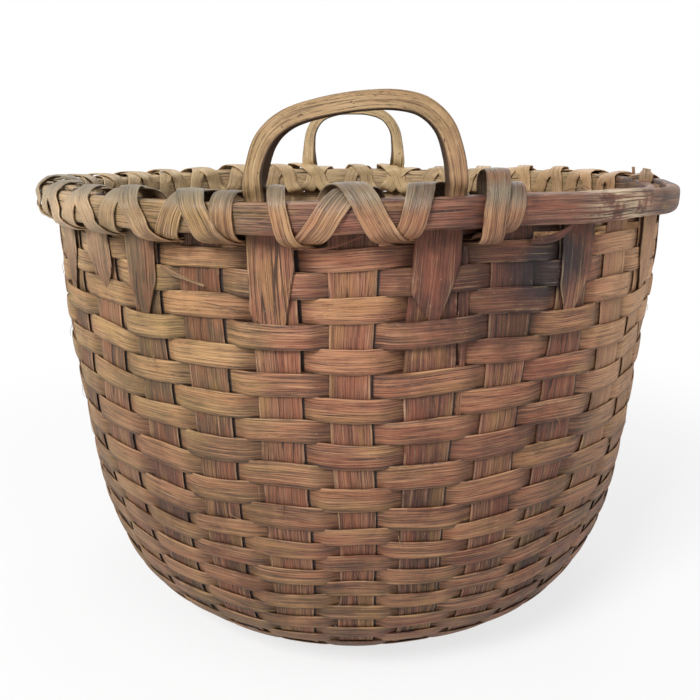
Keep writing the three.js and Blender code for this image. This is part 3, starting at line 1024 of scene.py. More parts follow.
def strip_skin(bench: Bench, line: Wire, given: dict[str, Wire]) -> None:
    """Turns a curve that carries a strip's directions and sizes into the strip, and ends the tree.

    Args:
        bench: The tree.
        line: The curve, with centre, across, up, half, deep, crown and run on its points.
        given: The tree's inputs.
    """
    turn = bench.node("GeometryNodeSplineParameter", out="Factor") * (2 * math.pi)
    circle = {"Resolution": given["Sides"], "Radius": 0.001}
    ring = bench.node("GeometryNodeCurvePrimitiveCircle", values=circle)
    wide, thick = turn.math("COSINE"), turn.math("SINE")
    outer = thick.math("GREATER_THAN", 0.0)
    bend = given["Round Out"] * outer + given["Round In"] * (1.0 - outer)
    sides = {"wide": wide, "thick": thick}
    sides = {name: side.math("SIGN") * abs(side) ** bend for name, side in sides.items()}
    ring = store(bench, ring, sides)
    values = {"Curve": line, "Profile Curve": ring, "Fill Caps": True}
    skin = bench.node("GeometryNodeCurveToMesh", values=values)
    wide, thick, run, half, deep, shift = (
        named(bench, name) for name in ("wide", "thick", "run", "half", "deep", "shift")
    )
    across, up, place = (named(bench, name, "FLOAT_VECTOR") for name in ("across", "up", "centre"))
    seed = given["Tone"] * 61.0
    noises = []
    for waver in Waver:
        along, aside, start, detail, size = waver.value
        spot = bench.vector(run * along, wide * aside, seed + start)
        noises.append((bench.noise(spot, detail=detail) - 0.5) * size)
    sway, nibble, ripple = noises
    reach = wide * half * (1.0 + (sway + nibble) * given["Wear"])
    rise = thick * deep + (1.0 - wide * wide) * given["Cup"] + ripple * given["Wear"]
    moved = {"Geometry": skin, "Position": place + across * reach + up * rise}
    skin = bench.node("GeometryNodeSetPosition", values=moved)
    uv = bench.vector(run, reach + shift, 0.0)
    skin = store(bench, skin, {"UVMap": uv}, "FLOAT2", "CORNER")
    skin = store(bench, skin, {"edge": abs(wide), "front": thick, "tone": given["Tone"]})
    for kind, values in (
        ("GeometryNodeSetShadeSmooth", {"Shade Smooth": True}),
        ("GeometryNodeRealizeInstances", {}),
        ("GeometryNodeSetMaterial", {"Material": given["Material"]}),
    ):
        skin = bench.node(kind, values={"Geometry": skin, **values})
    bench.node("NodeGroupOutput", values={0: skin})


class StripTree:
    """The Geometry Nodes tree that gives a path its width, its thickness and its worn edges."""

    def __init__(self) -> None:
        """Builds the tree."""
        self.tree = bpy.data.node_groups.new("strip_along_path", "GeometryNodeTree")
        self.ids = declare(self.tree, ("Step", *SKIN_VALUES), ("Sides",))
        bench = Bench(self.tree)
        given = group_inputs(bench)
        line = bench.node("GeometryNodeMeshToCurve", values={"Mesh": given["Geometry"]})
        steps = {"Curve": line, "Length": given["Step"]}
        line = bench.node("GeometryNodeResampleCurve", {"mode": "LENGTH"}, steps)
        place = bench.node("GeometryNodeInputPosition")
        run = bench.node("GeometryNodeSplineParameter", out="Length")
        line = store(bench, line, {"centre": place}, "FLOAT_VECTOR")
        line = store(bench, line, {"run": run})
        strip_skin(bench, line, given)


class CourseTree:
    """The Geometry Nodes tree of one woven course, which goes over and under the stakes in turn."""

    values: tuple[str, ...] = (
        "Top Radius", "Top Height", "Bottom Radius", "Bottom Height", "Sign", "Over", "Under",
        "Start", "Overlap", "Tail", "Thickness", "Edge", *SKIN_VALUES,
    )
    bias: float = 0.22
    pinch: float = 0.3
    lowest: float = 0.0008
    tail_gone: float = 0.95
    tail_full: float = 0.35

    def __init__(self, form: Form) -> None:
        """Builds the tree for a basket's number of stakes.

        Args:
            form: The basket's shape.
        """
        self.tree = bpy.data.node_groups.new("woven_course", "GeometryNodeTree")
        self.ids = declare(self.tree, self.values, ("Segments", "Sides"))
        self.form = form
        bench = Bench(self.tree)
        given = group_inputs(bench)
        steps = {"Curve": bench.node("GeometryNodeCurvePrimitiveLine"), "Count": given["Segments"]}
        line = bench.node("GeometryNodeResampleCurve", {"mode": "COUNT"}, steps)
        share = bench.node("GeometryNodeSplineParameter", out="Factor")
        gone = share * (given["Overlap"] + float(form.stake_count))
        stake = given["Start"] + gone
        wave = (stake * math.pi).math("COSINE") * given["Sign"]
        slope = (stake * math.pi).math("SINE") * given["Sign"] * -1.0
        lift, over = self._lift(given, wave, gone, stake)
        angle = stake * form.stake_angle + form.first_angle
        outward = bench.vector(angle.math("SINE"), -angle.math("COSINE"), 0.0)
        upward = bench.vector(0.0, 0.0, 1.0)
        fall_out = given["Bottom Radius"] - given["Top Radius"]
        fall_up = given["Bottom Height"] - given["Top Height"]
        width = (fall_out * fall_out + fall_up * fall_up).math("SQRT")
        way_out, way_up = fall_out / width, fall_up / width
        across = outward * way_out + upward * way_up
        normal = outward * -way_up + upward * way_out
        radius = (given["Top Radius"] + given["Bottom Radius"]) * 0.5
        height = (given["Top Height"] + given["Bottom Height"]) * 0.5
        x, y, z = bench.parts(outward * radius + upward * height + normal * lift)
        off_floor = width * abs(way_up) * 0.5 + self.lowest
        centre = bench.vector(x, y, z.math("MAXIMUM", off_floor))
        ways = {"centre": centre, "across": across, "up": normal}
        line = store(bench, line, ways, "FLOAT_VECTOR")
        line = store(bench, line, {
            "half": width * 0.5 + given["Edge"], "deep": given["Thickness"] * 0.5, "crown": over,
            "wave": wave, "slope": slope, "run": stake * radius * form.stake_angle,
        })
        strip_skin(bench, line, given)

    def _lift(
        self, given: dict[str, Wire], wave: Wire, gone: Wire, stake: Wire
    ) -> tuple[Wire, Wire]:
        """Works out how far the course stands off the wall's middle line.

        Args:
            given: The tree's inputs.
            wave: The weave, 1 over a stake and -1 under one.
            gone: Stakes passed since the course began.
            stake: The place along the rim, counted in stakes.

        Returns:
            The lift, and the share of its way outward, 0 to 1.
        """
        step = self.form.stake_angle
        risen = wave + self.bias
        crest = risen / (risen * risen + self.pinch**2).math("SQRT") * math.sqrt(1 + self.pinch**2)
        out, inward = crest.math("MAXIMUM", 0.0), crest.math("MINIMUM", 0.0)
        lift = out * given["Over"] + inward * given["Under"]
        over = (crest + 1.0) * 0.5
        thick = given["Thickness"]
        beneath = gone.smooth(given["Overlap"], given["Overlap"] + 1.0, 1.0, 0.0)
        above = gone.smooth(self.form.stake_count - 1.0, float(self.form.stake_count))
        lift = lift - thick * beneath * (1.0 - over) + thick * above * over
        beside = abs(abs((stake * step).math("SINE").math("ARCSINE")) / step - 1.0)
        tail = beside.smooth(self.tail_full, self.tail_gone, 1.0, 0.0)
        return lift - given["Tail"] * tail, over


class Workshop:
    """Makes finished pieces from paths and courses, and puts them on the frame."""

    usual: dict[str, Union[float, int]] = {
        "Step": 0.0025, "Round Out": 0.4, "Round In": 0.4, "Cup": 0.0002, "Wear": 1.0, "Sides": 16,
    }
    spare: tuple[str, ...] = (
        "centre", "across", "up", "half", "deep", "run", "wide", "thick", "shift",
    )

    def __init__(self, form: Form, finishes: Finishes, settling: Settling) -> None:
        """Gets the trees ready.

        Args:
            form: The basket's shape.
            finishes: Its woods.
            settling: How it has gone out of true.
        """
        self.form = form
        self.finishes = finishes
        self.settling = settling
        self.strips = StripTree()
        self.weave = CourseTree(form)

    def strip(self, path: Path, slot: Slot, tone: float, **sizes: Any) -> bpy.types.Mesh:
        """Makes a strip along a path.

        Args:
            path: The path.
            slot: The wood that it is made of.
            tone: The strip's own shade, 0 to 1.
            sizes: Inputs of the tree that differ from the usual ones.

        Returns:
            The strip's mesh.
        """
        base = bpy.data.meshes.new("path")
        base.from_pydata(path.points, [(i, i + 1) for i in range(len(path.points) - 1)], [])
        for label in ("across", "up"):
            rows = np.array([tuple(v) for v in getattr(path, label)], np.float32)
            kept = base.attributes.new(label, "FLOAT_VECTOR", "POINT")
            kept.data.foreach_set("vector", rows.ravel())
        for label in ("half", "deep", "crown", "shift"):
            kept = base.attributes.new(label, "FLOAT", "POINT")
            kept.data.foreach_set("value", np.array(getattr(path, label), np.float32))
        own = {name.replace("_", " ").title(): value for name, value in sizes.items()}
        return self._grow(base, self.strips, slot, {**self.usual, "Tone": tone, **own})

    def course(self, slot: Slot, tone: float, sizes: dict[str, Any]) -> bpy.types.Mesh:
        """Makes one woven course.

        Args:
            slot: The wood that it is made of.
            tone: The course's own shade, 0 to 1.
            sizes: Inputs of the tree by name, apart from the usual ones.

        Returns:
            The course's mesh.
        """
        own = {name: value for name, value in self.usual.items() if name != "Step"}
        base = bpy.data.meshes.new("course")
        return self._grow(base, self.weave, slot, {**own, "Tone": tone, **sizes})

    def finish(
        self, name: str, meshes: list[bpy.types.Mesh], slot: Slot, nodes: Sequence[str]
    ) -> bpy.types.Object:
        """Joins meshes into one piece, settles it and puts it on the frame.

        Args:
            name: The piece's name.
            meshes: Its meshes.
            slot: Its material slot.
            nodes: The CAD nodes that it stands for.

        Returns:
            The piece.
        """
        parts = [bpy.data.objects.new(name, mesh) for mesh in meshes]
        for part in parts:
            bpy.context.scene.collection.objects.link(part)
        piece = parts[0]
        if len(parts) > 1:
            with bpy.context.temp_override(active_object=piece, selected_editable_objects=parts):
                bpy.ops.object.join()
        mesh = piece.data
        mesh.name = name
        points = np.zeros(len(mesh.vertices) * 3)
        mesh.vertices.foreach_get("co", points)
        mesh.vertices.foreach_set("co", self.settling.move(points.reshape(-1, 3)).ravel())
        for spare in self.spare:
            if spare in mesh.attributes:
                mesh.attributes.remove(mesh.attributes[spare])
        mesh.update()
        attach(piece, BODY)
        if nodes:
            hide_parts(*nodes)
        LOG.info("%s: %d faces", name, len(mesh.polygons))
        return piece

    def _grow(
        self, base: bpy.types.Mesh, tree: Union[StripTree, CourseTree], slot: Slot,
        values: dict[str, Any],
    ) -> bpy.types.Mesh:
        """Runs a tree on a mesh.

        Args:
            base: The mesh that the tree starts from.
            tree: The tree.
            slot: The wood that the result is made of.
            values: The tree's other inputs by name.

        Returns:
            The plain mesh that it makes, with its faces outward.
        """
        carrier = bpy.data.objects.new("carrier", base)
        bpy.context.scene.collection.objects.link(carrier)
        modifier = carrier.modifiers.new("grow", "NODES")
        modifier.node_group = tree.tree
        modifier[tree.ids["Material"]] = self.finishes.of(slot)
        for name, value in values.items():
            modifier[tree.ids[name]] = value
        graph = bpy.context.evaluated_depsgraph_get()
        mesh = bpy.data.meshes.new_from_object(carrier.evaluated_get(graph), depsgraph=graph)
        carrier.modifiers.remove(modifier)
        bpy.data.objects.remove(carrier)
        mesh.calc_loop_triangles()
        points = np.array([v.co for v in mesh.vertices])
        corners = np.array([t.vertices for t in mesh.loop_triangles])
        a, b, c = (points[corners[:, i]] for i in range(3))
        if np.einsum("ij,ij->i", a, np.cross(b, c)).sum() < 0:
            mesh.flip_normals()
        return mesh


# Sub-assemblies

@dataclass
class WovenWall:
    """The courses of weavers, each a strip whose ends lap behind a stake."""

    shop: Workshop
    thickness: float = 0.001
    crest: float = 0.00125
    flat_crest: float = 0.0011
    under: float = 0.00125
    tuck: float = 0.0027
    tail: float = 0.0019
    tuck_course: int = 4
    tail_courses: tuple[int, ...] = (1, 3, 5)
    lap: float = 3.0
    lap_pairs: tuple[int, int] = (5, 12)
    edge: float = 0.0005
    bend_edge: float = 0.0013
    bend_course: int = 9
    flat_reach: float = 0.03
    cup: float = 0.00025
    wear: float = 0.35
    flat_wear: float = 0.25
    points_per_stake: int = 24
    seed: int = 11

    def build(self) -> list[bpy.types.Object]:
        """Builds every course.

        Returns:
            The courses from the rim down.
        """
        form = self.shop.form
        chance = np.random.default_rng(self.seed)
        pieces = []
        for number, (start, end) in enumerate(form.courses()):
            top, bottom = form.point([start, end]).tolist()
            flat = start > form.wall_length - self.flat_reach
            over = self.flat_crest if flat else self.crest
            sizes = {
                "Top Radius": top[0], "Top Height": top[1],
                "Bottom Radius": bottom[0], "Bottom Height": bottom[1],
                "Sign": 1.0 if number % 2 else -1.0,
                "Over": self.tuck if number == self.tuck_course else over, "Under": self.under,
                "Start": float(2 * chance.integers(*self.lap_pairs) + number % 2),
                "Overlap": self.lap,
                "Segments": int((form.stake_count + self.lap) * self.points_per_stake),
                "Tail": self.tail if number in self.tail_courses else 0.0,
                "Thickness": self.thickness,
                "Cup": 0.0 if flat else self.cup,
                "Edge": self.bend_edge if number >= self.bend_course and not flat else self.edge,
                "Wear": self.flat_wear if flat else self.wear,
            }
            mesh = self.shop.course(Slot.WEAVER, float(chance.uniform(0, 1)), sizes)
            name = f"weaver_{number:02d}"
            pieces.append(self.shop.finish(f"{name}_strip", [mesh], Slot.WEAVER, [name]))
        return pieces


@dataclass(frozen=True)
class Tongue:
    """A stake folded down outside and cut to a point, with a shoulder on either side."""

    left: float = 0.04
    right: float = 0.04
    reach: float = 0.070
    tip: float = 0.0

    def edges(self, along: float, half: float, tip_half: float) -> tuple[float, float]:
        """Gives where the left and the right edge are at a length down from the rim top.

        Args:
            along: The length.
            half: Half the stake's width.
            tip_half: Half the width of the point.

        Returns:
            Both edges, to the side of the stake's middle.
        """
        sides = []
        for sign, shoulder in ((-1, self.left), (1, self.right)):
            share = clamp((along - shoulder) / (self.reach - shoulder))
            sides.append(sign * half + (self.tip + sign * tip_half - sign * half) * share)
        return sides[0], sides[1]

    def places(self, corner: float = 0.001) -> list[float]:
        """Lists the lengths down from the rim top where the tongue's line needs a point.

        Args:
            corner: How close to a shoulder its two points are.

        Returns:
            The lengths from the tip up.
        """
        low, high = sorted((self.left, self.right))
        rows = [self.reach, self.reach - 0.004, self.reach - 0.010, high + corner, high - corner]
        if high - low > 6 * corner:
            rows.append((high + low) / 2)
        if high - low > 2.5 * corner:
            rows.append(low + corner)
        return rows + [low - corner, 0.03, 0.02]


@dataclass
class Splints:
    """The sixteen long splints that cross under the base and stand up as stakes."""

    shop: Workshop
    count: int = 16
    thickness: float = 0.0008
    top_drop: float = 0.0026
    fold: float = 0.0008
    tip_width: float = 0.003
    tip_lift: float = 0.0013
    tip_slope: float = 0.013
    tongue_lift: float = 0.0026
    lashed: float = 0.024
    bow: float = 0.0003
    wear: float = 0.3
    pile_step: float = 0.0011
    seed: int = 5
    tongue_seed: int = 100
    shoulder: float = 0.042
    shoulder_stray: float = 0.006
    tip_stray: float = 0.003
    room_shares: tuple[float, ...] = (1.04, 1.3, 1.8, 2.2)
    level_shares: tuple[tuple[float, ...], ...] = (
        (1.15, 4, 6, 8), (0, 1.15, 2.9, 4), (0, 0, 1.15, 2), (0, 0, 0, 1),
    )
    tones: dict[int, float] = field(default_factory=lambda: {
        0: 0.6, 1: 0.2, 2: 0.5, 3: 0.25, 4: 0.75, 12: 0.6, 13: 0.0, 14: 0.35, 15: 0.7,
    })
    tongues: dict[int, Tongue] = field(default_factory=lambda: {
        31: Tongue(0.060, 0.0335, 0.0705, 0.003),
        1: Tongue(0.0475, 0.0335, 0.0665, 0.0015),
        29: Tongue(0.048, 0.045, 0.068, -0.001),
        28: Tongue(0.036, 0.042, 0.056, 0.002),
        3: Tongue(0.050, 0.040, 0.0705, -0.002),
        5: Tongue(0.042, 0.050, 0.070, 0.002),
    })

    def build(self) -> list[bpy.types.Object]:
        """Builds every splint.

        Returns:
            The splints by number.
        """
        chance = np.random.default_rng(self.seed)
        pieces = []
        for number in range(self.count):
            tone = self.tones.get(number, float(chance.uniform(0, 1)))
            mesh = self.shop.strip(self._path(number), Slot.STAKE, tone, wear=self.wear)
            name = f"splint_{number + 1:02d}"
            pieces.append(self.shop.finish(f"{name}_strip", [mesh], Slot.STAKE, [name]))
        return pieces

    def _level(self, number: int, ring: int) -> float:
        """Gives a splint's height in the pile at one of the crossing's rings."""
        bits = [bit for bit in range(4) if number & (1 << bit)]
        return sum(self.level_shares[bit][ring] for bit in bits) * self.pile_step

    def _tongue(self, stake: int) -> Optional[Tongue]:
        """Finds a stake's tongue.

        Args:
            stake: The stake.

        Returns:
            Its tongue, or None where it ends under the hoops.
        """
        if stake in self.tongues:
            return self.tongues[stake]
        if stake % 2 == 0:
            return None
        left, right, tip = np.random.default_rng(self.tongue_seed + stake).uniform(-1, 1, 3)
        left, right = (self.shoulder + self.shoulder_stray * share for share in (left, right))
        return Tongue(left, right, tip=self.tip_stray * tip)

    def _half_line(self, number: int, end: int) -> list[tuple[float, float, float, float, float]]:
        """Draws a half splint from its top to the crossing.

        Args:
            number: The splint.
            end: 0 for its near end, 1 for its far end.

        Returns:
            Points as out, up, side, half width and crown.
        """
        form = self.shop.form
        stake = number + end * self.count
        turned = -1 if end else 1
        rows: list[tuple[float, float, float, float, float]] = []

        def put(along: float, lift: float, half: float, crown: float, side: float = 0.0) -> None:
            """Adds a point at a length down from the rim top."""
            point, _ = form.off_wall(along, lift)
            rows.append((*point, side * turned, half, crown))

        rim_half = form.half_width(form.stake_radius)
        tongue = self._tongue(stake)
        if tongue:
            for along in (*tongue.places(), self.top_drop):
                left, right = tongue.edges(along, rim_half, self.tip_width / 2)
                lift = self.tip_lift * (1 + clamp((tongue.reach - along) / self.tip_slope))
                crown = 1.0 if along > self.lashed else 0.3
                put(along, lift, (right - left) / 2, crown, (left + right) / 2)
            put(self.top_drop - self.fold, self.tongue_lift / 2, rim_half, 0.2)
        put(self.top_drop, 0.0, rim_half, 0.2)
        for course, (start, finish) in enumerate(form.courses()[1:], 1):
            sign = 1 if (course + stake) % 2 else -1
            middle = (start + finish) / 2
            (point,) = form.point(middle)
            put(middle, -sign * self.bow, form.half_width(float(point[0])), 0.5 - 0.5 * sign)
        for ring, share in enumerate(self.room_shares):
            out = share * form.waist / (2 * math.tan(2**ring * form.stake_angle / 2))
            up = form.rim_height - form.base_drop + self._level(number, ring)
            rows.append((out, up, 0.0, form.waist / 2, 0.3))
        return rows

    def _path(self, number: int) -> Path:
        """Draws a whole splint, its near half and then its far half.

        Args:
            number: The splint.

        Returns:
            The path.
        """
        form = self.shop.form
        near, far = (np.array(self._half_line(number, end)) for end in (0, 1))
        far[:, 0] *= -1
        line = smooth_line(np.vstack((near, far[::-1])), 6)
        angle = form.angle_of(number)
        across = form.at(angle, 0, 1, 0)
        path = Path()
        for i, (out, up, side, half, crown) in enumerate(line):
            before, after = neighbours(line, i)
            way = after[:2] - before[:2]
            face = form.at(angle, way[1], 0, -way[0])
            spot = form.at(angle, out, side, up)
            path.add(spot, across, face, half, self.thickness / 2, clamp(crown), side)
        return path


@dataclass(frozen=True)
class Hoop:
    """One hoop's sizes, where its scarf begins and how its strip is rounded."""

    piece: str
    node: str
    thickness: float
    height: float
    start: float
    tone: float
    wear: float
    round_out: float
    round_in: float
    sides: int


@dataclass
class RimHoops:
    """The two hoops that grip the top of the wall."""

    shop: Workshop
    outer: Hoop = Hoop(
        "outer_hoop_bent", "rim_hoop_outer", thickness=0.0093, height=0.0162, start=2.4,
        tone=0.42, wear=0.3, round_out=0.62, round_in=0.35, sides=24,
    )
    inner: Hoop = Hoop(
        "inner_hoop_bent", "rim_hoop_inner", thickness=0.0068, height=0.0206, start=-1.9,
        tone=0.61, wear=0.2, round_out=0.35, round_in=0.6, sides=20,
    )
    outer_inside: float = 0.2250
    inner_outside: float = 0.2187
    inner_leg_outside: float = 0.2164
    inner_above: float = -0.0006
    leg_reach: float = 2.5
    scarf: float = 0.5
    scarf_end: float = 0.06
    crown: float = 0.8
    steps: int = 240
    strip_step: float = 0.004

    def build(self) -> list[bpy.types.Object]:
        """Builds both hoops.

        Returns:
            The outer and the inner hoop.
        """
        outer = self._hoop(self.outer, self.outer_radius, 0.0)
        return [outer, self._hoop(self.inner, self.inner_radius, self.inner_above)]

    def outer_radius(self, _: float) -> float:
        """Gives the outer hoop's middle radius, the same at every angle."""
        return self.outer_inside + self.outer.thickness / 2

    def inner_radius(self, angle: float) -> float:
        """Gives the inner hoop's middle radius, less where it passes a handle's leg.

        Args:
            angle: The angle round the basket.

        Returns:
            The radius.
        """
        form = self.shop.form
        turn = abs(math.asin(math.sin(angle - form.first_angle))) / form.stake_angle
        near = clamp(self.leg_reach - turn)
        near = near * near * (3 - 2 * near)
        outside = self.inner_outside + (self.inner_leg_outside - self.inner_outside) * near
        return outside - self.inner.thickness / 2

    def _hoop(
        self, hoop: Hoop, radius: Callable[[float], float], above: float
    ) -> bpy.types.Object:
        """Bends a hoop whose two ends are shaved to a scarf and lie on each other.

        Args:
            hoop: Its sizes.
            radius: Its middle radius at an angle.
            above: How far its top stands over the rim.

        Returns:
            The hoop.
        """
        form = self.shop.form
        height = form.rim_height + above - hoop.height / 2
        path = Path()
        total = 2 * math.pi + self.scarf
        for i in range(self.steps + 1):
            gone = total * i / self.steps
            angle = hoop.start + gone
            first = min(gone / self.scarf, 1)
            last = min((total - gone) / self.scarf, 1)
            share = max(min(first, last), self.scarf_end)
            out = radius(angle) + ((1 - first) * 0.5 - (1 - last) * 0.5) * hoop.thickness
            spot, face = form.at(angle, out, 0, height), form.at(angle, 1, 0, 0)
            deep = hoop.thickness / 2 * share
            path.add(spot, Vector((0, 0, -1)), face, hoop.height / 2, deep, self.crown)
        mesh = self.shop.strip(
            path, Slot.HOOP, hoop.tone, wear=hoop.wear, round_out=hoop.round_out,
            round_in=hoop.round_in, cup=0.0, step=self.strip_step, sides=hoop.sides,
        )
        return self.shop.finish(hoop.piece, [mesh], Slot.HOOP, [hoop.node])


@dataclass(frozen=True)
class Quarter:
    """A quarter of the outline round the hoops, as a rounded corner."""

    out: float
    up: float
    power: float


@dataclass(frozen=True)
class Strand:
    """One strand of the lashing: its node, the way it goes round, its layer and its ends."""

    node: str
    heading: int
    layer: int
    tone: float
    lean: float
    stop: float


@dataclass
class Lashing:
    """The two flat strands that cross each other round the hoops."""

    shop: Workshop
    hoops: RimHoops
    handles: "Handles"
    strands: tuple[Strand, ...] = (
        Strand("rim_lashing_under", 1, 0, 0.35, 0.4, 0.7),
        Strand("rim_lashing_over", -1, 1, 0.6, -0.35, 0.6),
    )
    thickness: float = 0.0011
    width: float = 0.0136
    loops: int = 26
    gap: float = 0.0005
    layer_gap: float = 0.0003
    clear: float = 0.6
    end_gap: float = 1.5
    last_bottom: float = 1.66
    last_top: float = 1.9
    wrap: float = 1.545
    wrap_rise: float = 0.0058
    wrap_drop: float = 0.0036
    wrap_power: float = 6.0
    wrap_ahead: float = 0.14
    wrap_hold: float = 0.8
    points: int = 30
    first_turn: float = 0.05
    lean_size: float = 0.12
    lean_ends: tuple[float, ...] = (1.3, 2.1, 7, 9)
    stray: float = 0.05
    loose: tuple[float, float] = (-0.0002, 0.0003)
    arches: float = 0.0010
    widths: tuple[float, float] = (0.93, 1.05)
    step: float = 0.0018
    cup: float = 0.0005
    wear: float = 0.4
    seed: int = 21
    moved_gaps: dict[float, float] = field(default_factory=lambda: {-0.5: -0.64})
    moved_tops: dict[tuple[int, float], float] = field(default_factory=lambda: {(1, 0.5): 0.76})
    narrow_loops: dict[tuple[int, float], float] = field(
        default_factory=lambda: {(-1, -0.5): 0.7, (-1, -1.5): 1.1}
    )
    slack: tuple[tuple[float, float], ...] = (
        (0, 0), (3, 0), (7, -0.0042), (10, -0.0042), (13, -0.0035), (20, -0.003),
        (23, -0.0045), (25, -0.0035), (27, -0.002), (29, -0.002), (30.5, 0), (32, 0),
    )
    core_out: float = 0.2231
    core_up: float = 0.311
    quarters: tuple[Quarter, ...] = (
        Quarter(0.0114, 0.0098, 2.5), Quarter(0.0114, 0.0135, 2.05),
        Quarter(-0.0116, 0.0135, 2.7), Quarter(-0.0116, 0.0126, 4.5),
    )

    def build(self) -> list[bpy.types.Object]:
        """Builds both strands.

        Returns:
            The lower and the upper strand.
        """
        pieces = []
        for strand in self.strands:
            chance = np.random.default_rng(self.seed + strand.layer)
            path = self._lay(self._rows(strand, chance))
            mesh = self.shop.strip(
                path, Slot.LASHING, strand.tone, wear=self.wear, cup=self.cup, step=self.step
            )
            name = f"{strand.node}_strand"
            pieces.append(self.shop.finish(name, [mesh], Slot.LASHING, [strand.node]))
        return pieces

    def _beside_leg(self, place: float, reach: str) -> Optional[tuple[float, float]]:
        """Finds the handle's leg near a place on the rim.

        Args:
            place: The place, counted in stakes.
            reach: The bow's width that counts, at the rim or lower down.

        Returns:
            The leg's place and how far a strand must stay from it, or None.
        """
        form = self.shop.form
        spacing = form.stake_radius * form.stake_angle
        for leg, bow in self.handles.leg_places():
            turns = round((place - leg) / form.stake_count) * form.stake_count
            clear = ((getattr(bow, reach) + self.width) / 2 + 2 * self.gap) / spacing
            if abs(place - leg - turns) < max(clear, self.clear):
                return leg + turns, clear
        return None

    def _crossing(self, stake: float, heading: int) -> float:
        """Gives where a strand goes over the rim at a stake, on its own side of a leg."""
        found = self._beside_leg(stake, "leg_width")
        return found[0] - heading * found[1] if found else stake

    def _gap_place(self, gap: float) -> float:
        """Finds where the strands pass under the hoops in a gap, clear of a leg's tail.

        Args:
            gap: The gap, counted in stakes.

        Returns:
            The place, with the loops' lean.
        """
        lean = self._lean(gap)
        gap = self.moved_gaps.get(gap, gap)
        found = self._beside_leg(gap, "tail_width")
        if found and abs(gap - found[0]) < found[1]:
            gap = found[0] + math.copysign(found[1], gap - found[0])
        return gap + lean

    def _lean(self, place: float) -> float:
        """Gives how far the loops have slid along the hoops on the left side of the rim.

        Args:
            place: A place along the rim, counted in stakes.

        Returns:
            The slide, in stakes.
        """
        left = -place % self.shop.form.stake_count
        begin, full, fade, end = self.lean_ends
        share = clamp((left - begin) / (full - begin)) * clamp((end - left) / (end - fade))
        return self.lean_size * share

    def _rise(self, place: float) -> float:
        """Gives how much higher the loops stand over the hoops at a place along the rim."""
        places, rises = np.array(self.slack).T
        return float(np.interp(place % self.shop.form.stake_count, places, rises))

    def _loops(self, strand: Strand, chance: np.random.Generator) -> list[list[float]]:
        """Lists the loops of a strand.

        Args:
            strand: The strand.
            chance: Its own random numbers.

        Returns:
            For each the gap that it comes from, its top and the gap that it goes on to.
        """
        heading = strand.heading
        rows = []
        for i in range(self.loops):
            gap = self.end_gap - (self.loops - 1 - i if heading > 0 else i)
            stake = gap + heading / 2
            crossing = self._crossing(stake, heading)
            top = self.moved_tops.get((heading, gap), crossing)
            if crossing == stake:
                top += float(chance.normal(0, self.stray)) - strand.lean * self._lean(gap)
            rows.append([self._gap_place(gap), top, self._gap_place(gap + heading)])
        if heading > 0:
            rows[-1][:2] = self.last_bottom, self.last_top
            rows[-2][2] = self.last_bottom
        else:
            rows[0][:2] = self.wrap, self.wrap
        return rows

    def _outline(self, turn: float, lift: float, arch: float, power: float) -> tuple[float, float]:
        """Gives a point of the outline round both hoops.

        Args:
            turn: 0 under the hoops, 0.25 outside, 0.5 on top, 0.75 inside.
            lift: How far the strand lies off the hoops.
            arch: How much higher its top stands.
            power: How square the lower outer corner is, 0 for the usual one.

        Returns:
            How far out and how high the point is.
        """
        angle = 2 * math.pi * turn
        quarter = self.quarters[min(int(turn * 4), 3)]
        power = power if power and turn < 0.25 else quarter.power
        side, rise = abs(math.sin(angle)), -math.cos(angle)
        out = (quarter.out + math.copysign(lift, quarter.out)) * side ** (2 / power)
        reach = quarter.up + lift + (arch if rise > 0 else 0)
        up = math.copysign(reach * abs(rise) ** (2 / power), rise)
        return self.core_out + out, self.core_up + up

    def _rows(self, strand: Strand, chance: np.random.Generator) -> list[tuple[float, ...]]:
        """Draws one strand, loop after loop.

        Args:
            strand: The strand.
            chance: Its own random numbers.

        Returns:
            Points as place in stakes, out, up, half width and crown.
        """
        form, hoops = self.shop.form, self.hoops
        loops = self._loops(strand, chance)
        lift = self.thickness / 2 + self.gap
        over = strand.layer * (self.thickness + self.layer_gap)
        middle = hoops.inner_outside - hoops.inner.thickness / 2
        rows = []
        for number, (gap, top, after) in enumerate(loops):
            loose = float(chance.uniform(*self.loose))
            arch = float(chance.uniform(-self.arches, self.arches)) + self._rise(top)
            half = self.width / 2 * float(chance.uniform(*self.widths))
            half *= self.narrow_loops.get((strand.heading, self.end_gap - number), 1.0)
            last = number == len(loops) - 1
            wrap = number == 0 and strand.heading < 0
            arch += self.wrap_rise * wrap
            for i in range(self.points):
                turn = i / self.points
                if (number == 0 and turn < self.first_turn) or (last and turn > strand.stop):
                    continue
                outside = turn < 0.5
                share = turn * 2 if outside else turn * 2 - 1
                if wrap and not outside:
                    share = max(0.0, (turn - self.wrap_hold) / (1 - self.wrap_hold))
                place = gap + (top - gap) * share if outside else top + (after - top) * share
                if wrap:
                    place += self.wrap_ahead * clamp(turn * 4 - 1, 0, 2) * min((1 - turn) * 5, 1)
                crossed = min(1.0, 2 * abs(math.cos(2 * math.pi * turn)))
                off = lift + over * (1 if wrap else crossed) + (loose if outside else 0)
                out, up = self._outline(turn, off, arch, self.wrap_power * wrap)
                if wrap and outside:
                    up -= self.wrap_drop * max(0.0, 1 - turn * 4)
                if not outside:
                    bend = middle - hoops.inner_radius(form.angle_of(place))
                    out -= bend * min((turn - 0.5) * 8, 1) * min((1 - turn) * 8, 1)
                seen = math.sin(math.pi * min(turn * 2, 1)) if outside else 0.6
                rows.append((place, out, up, half, min(1.0, 0.25 + seen)))
        return rows

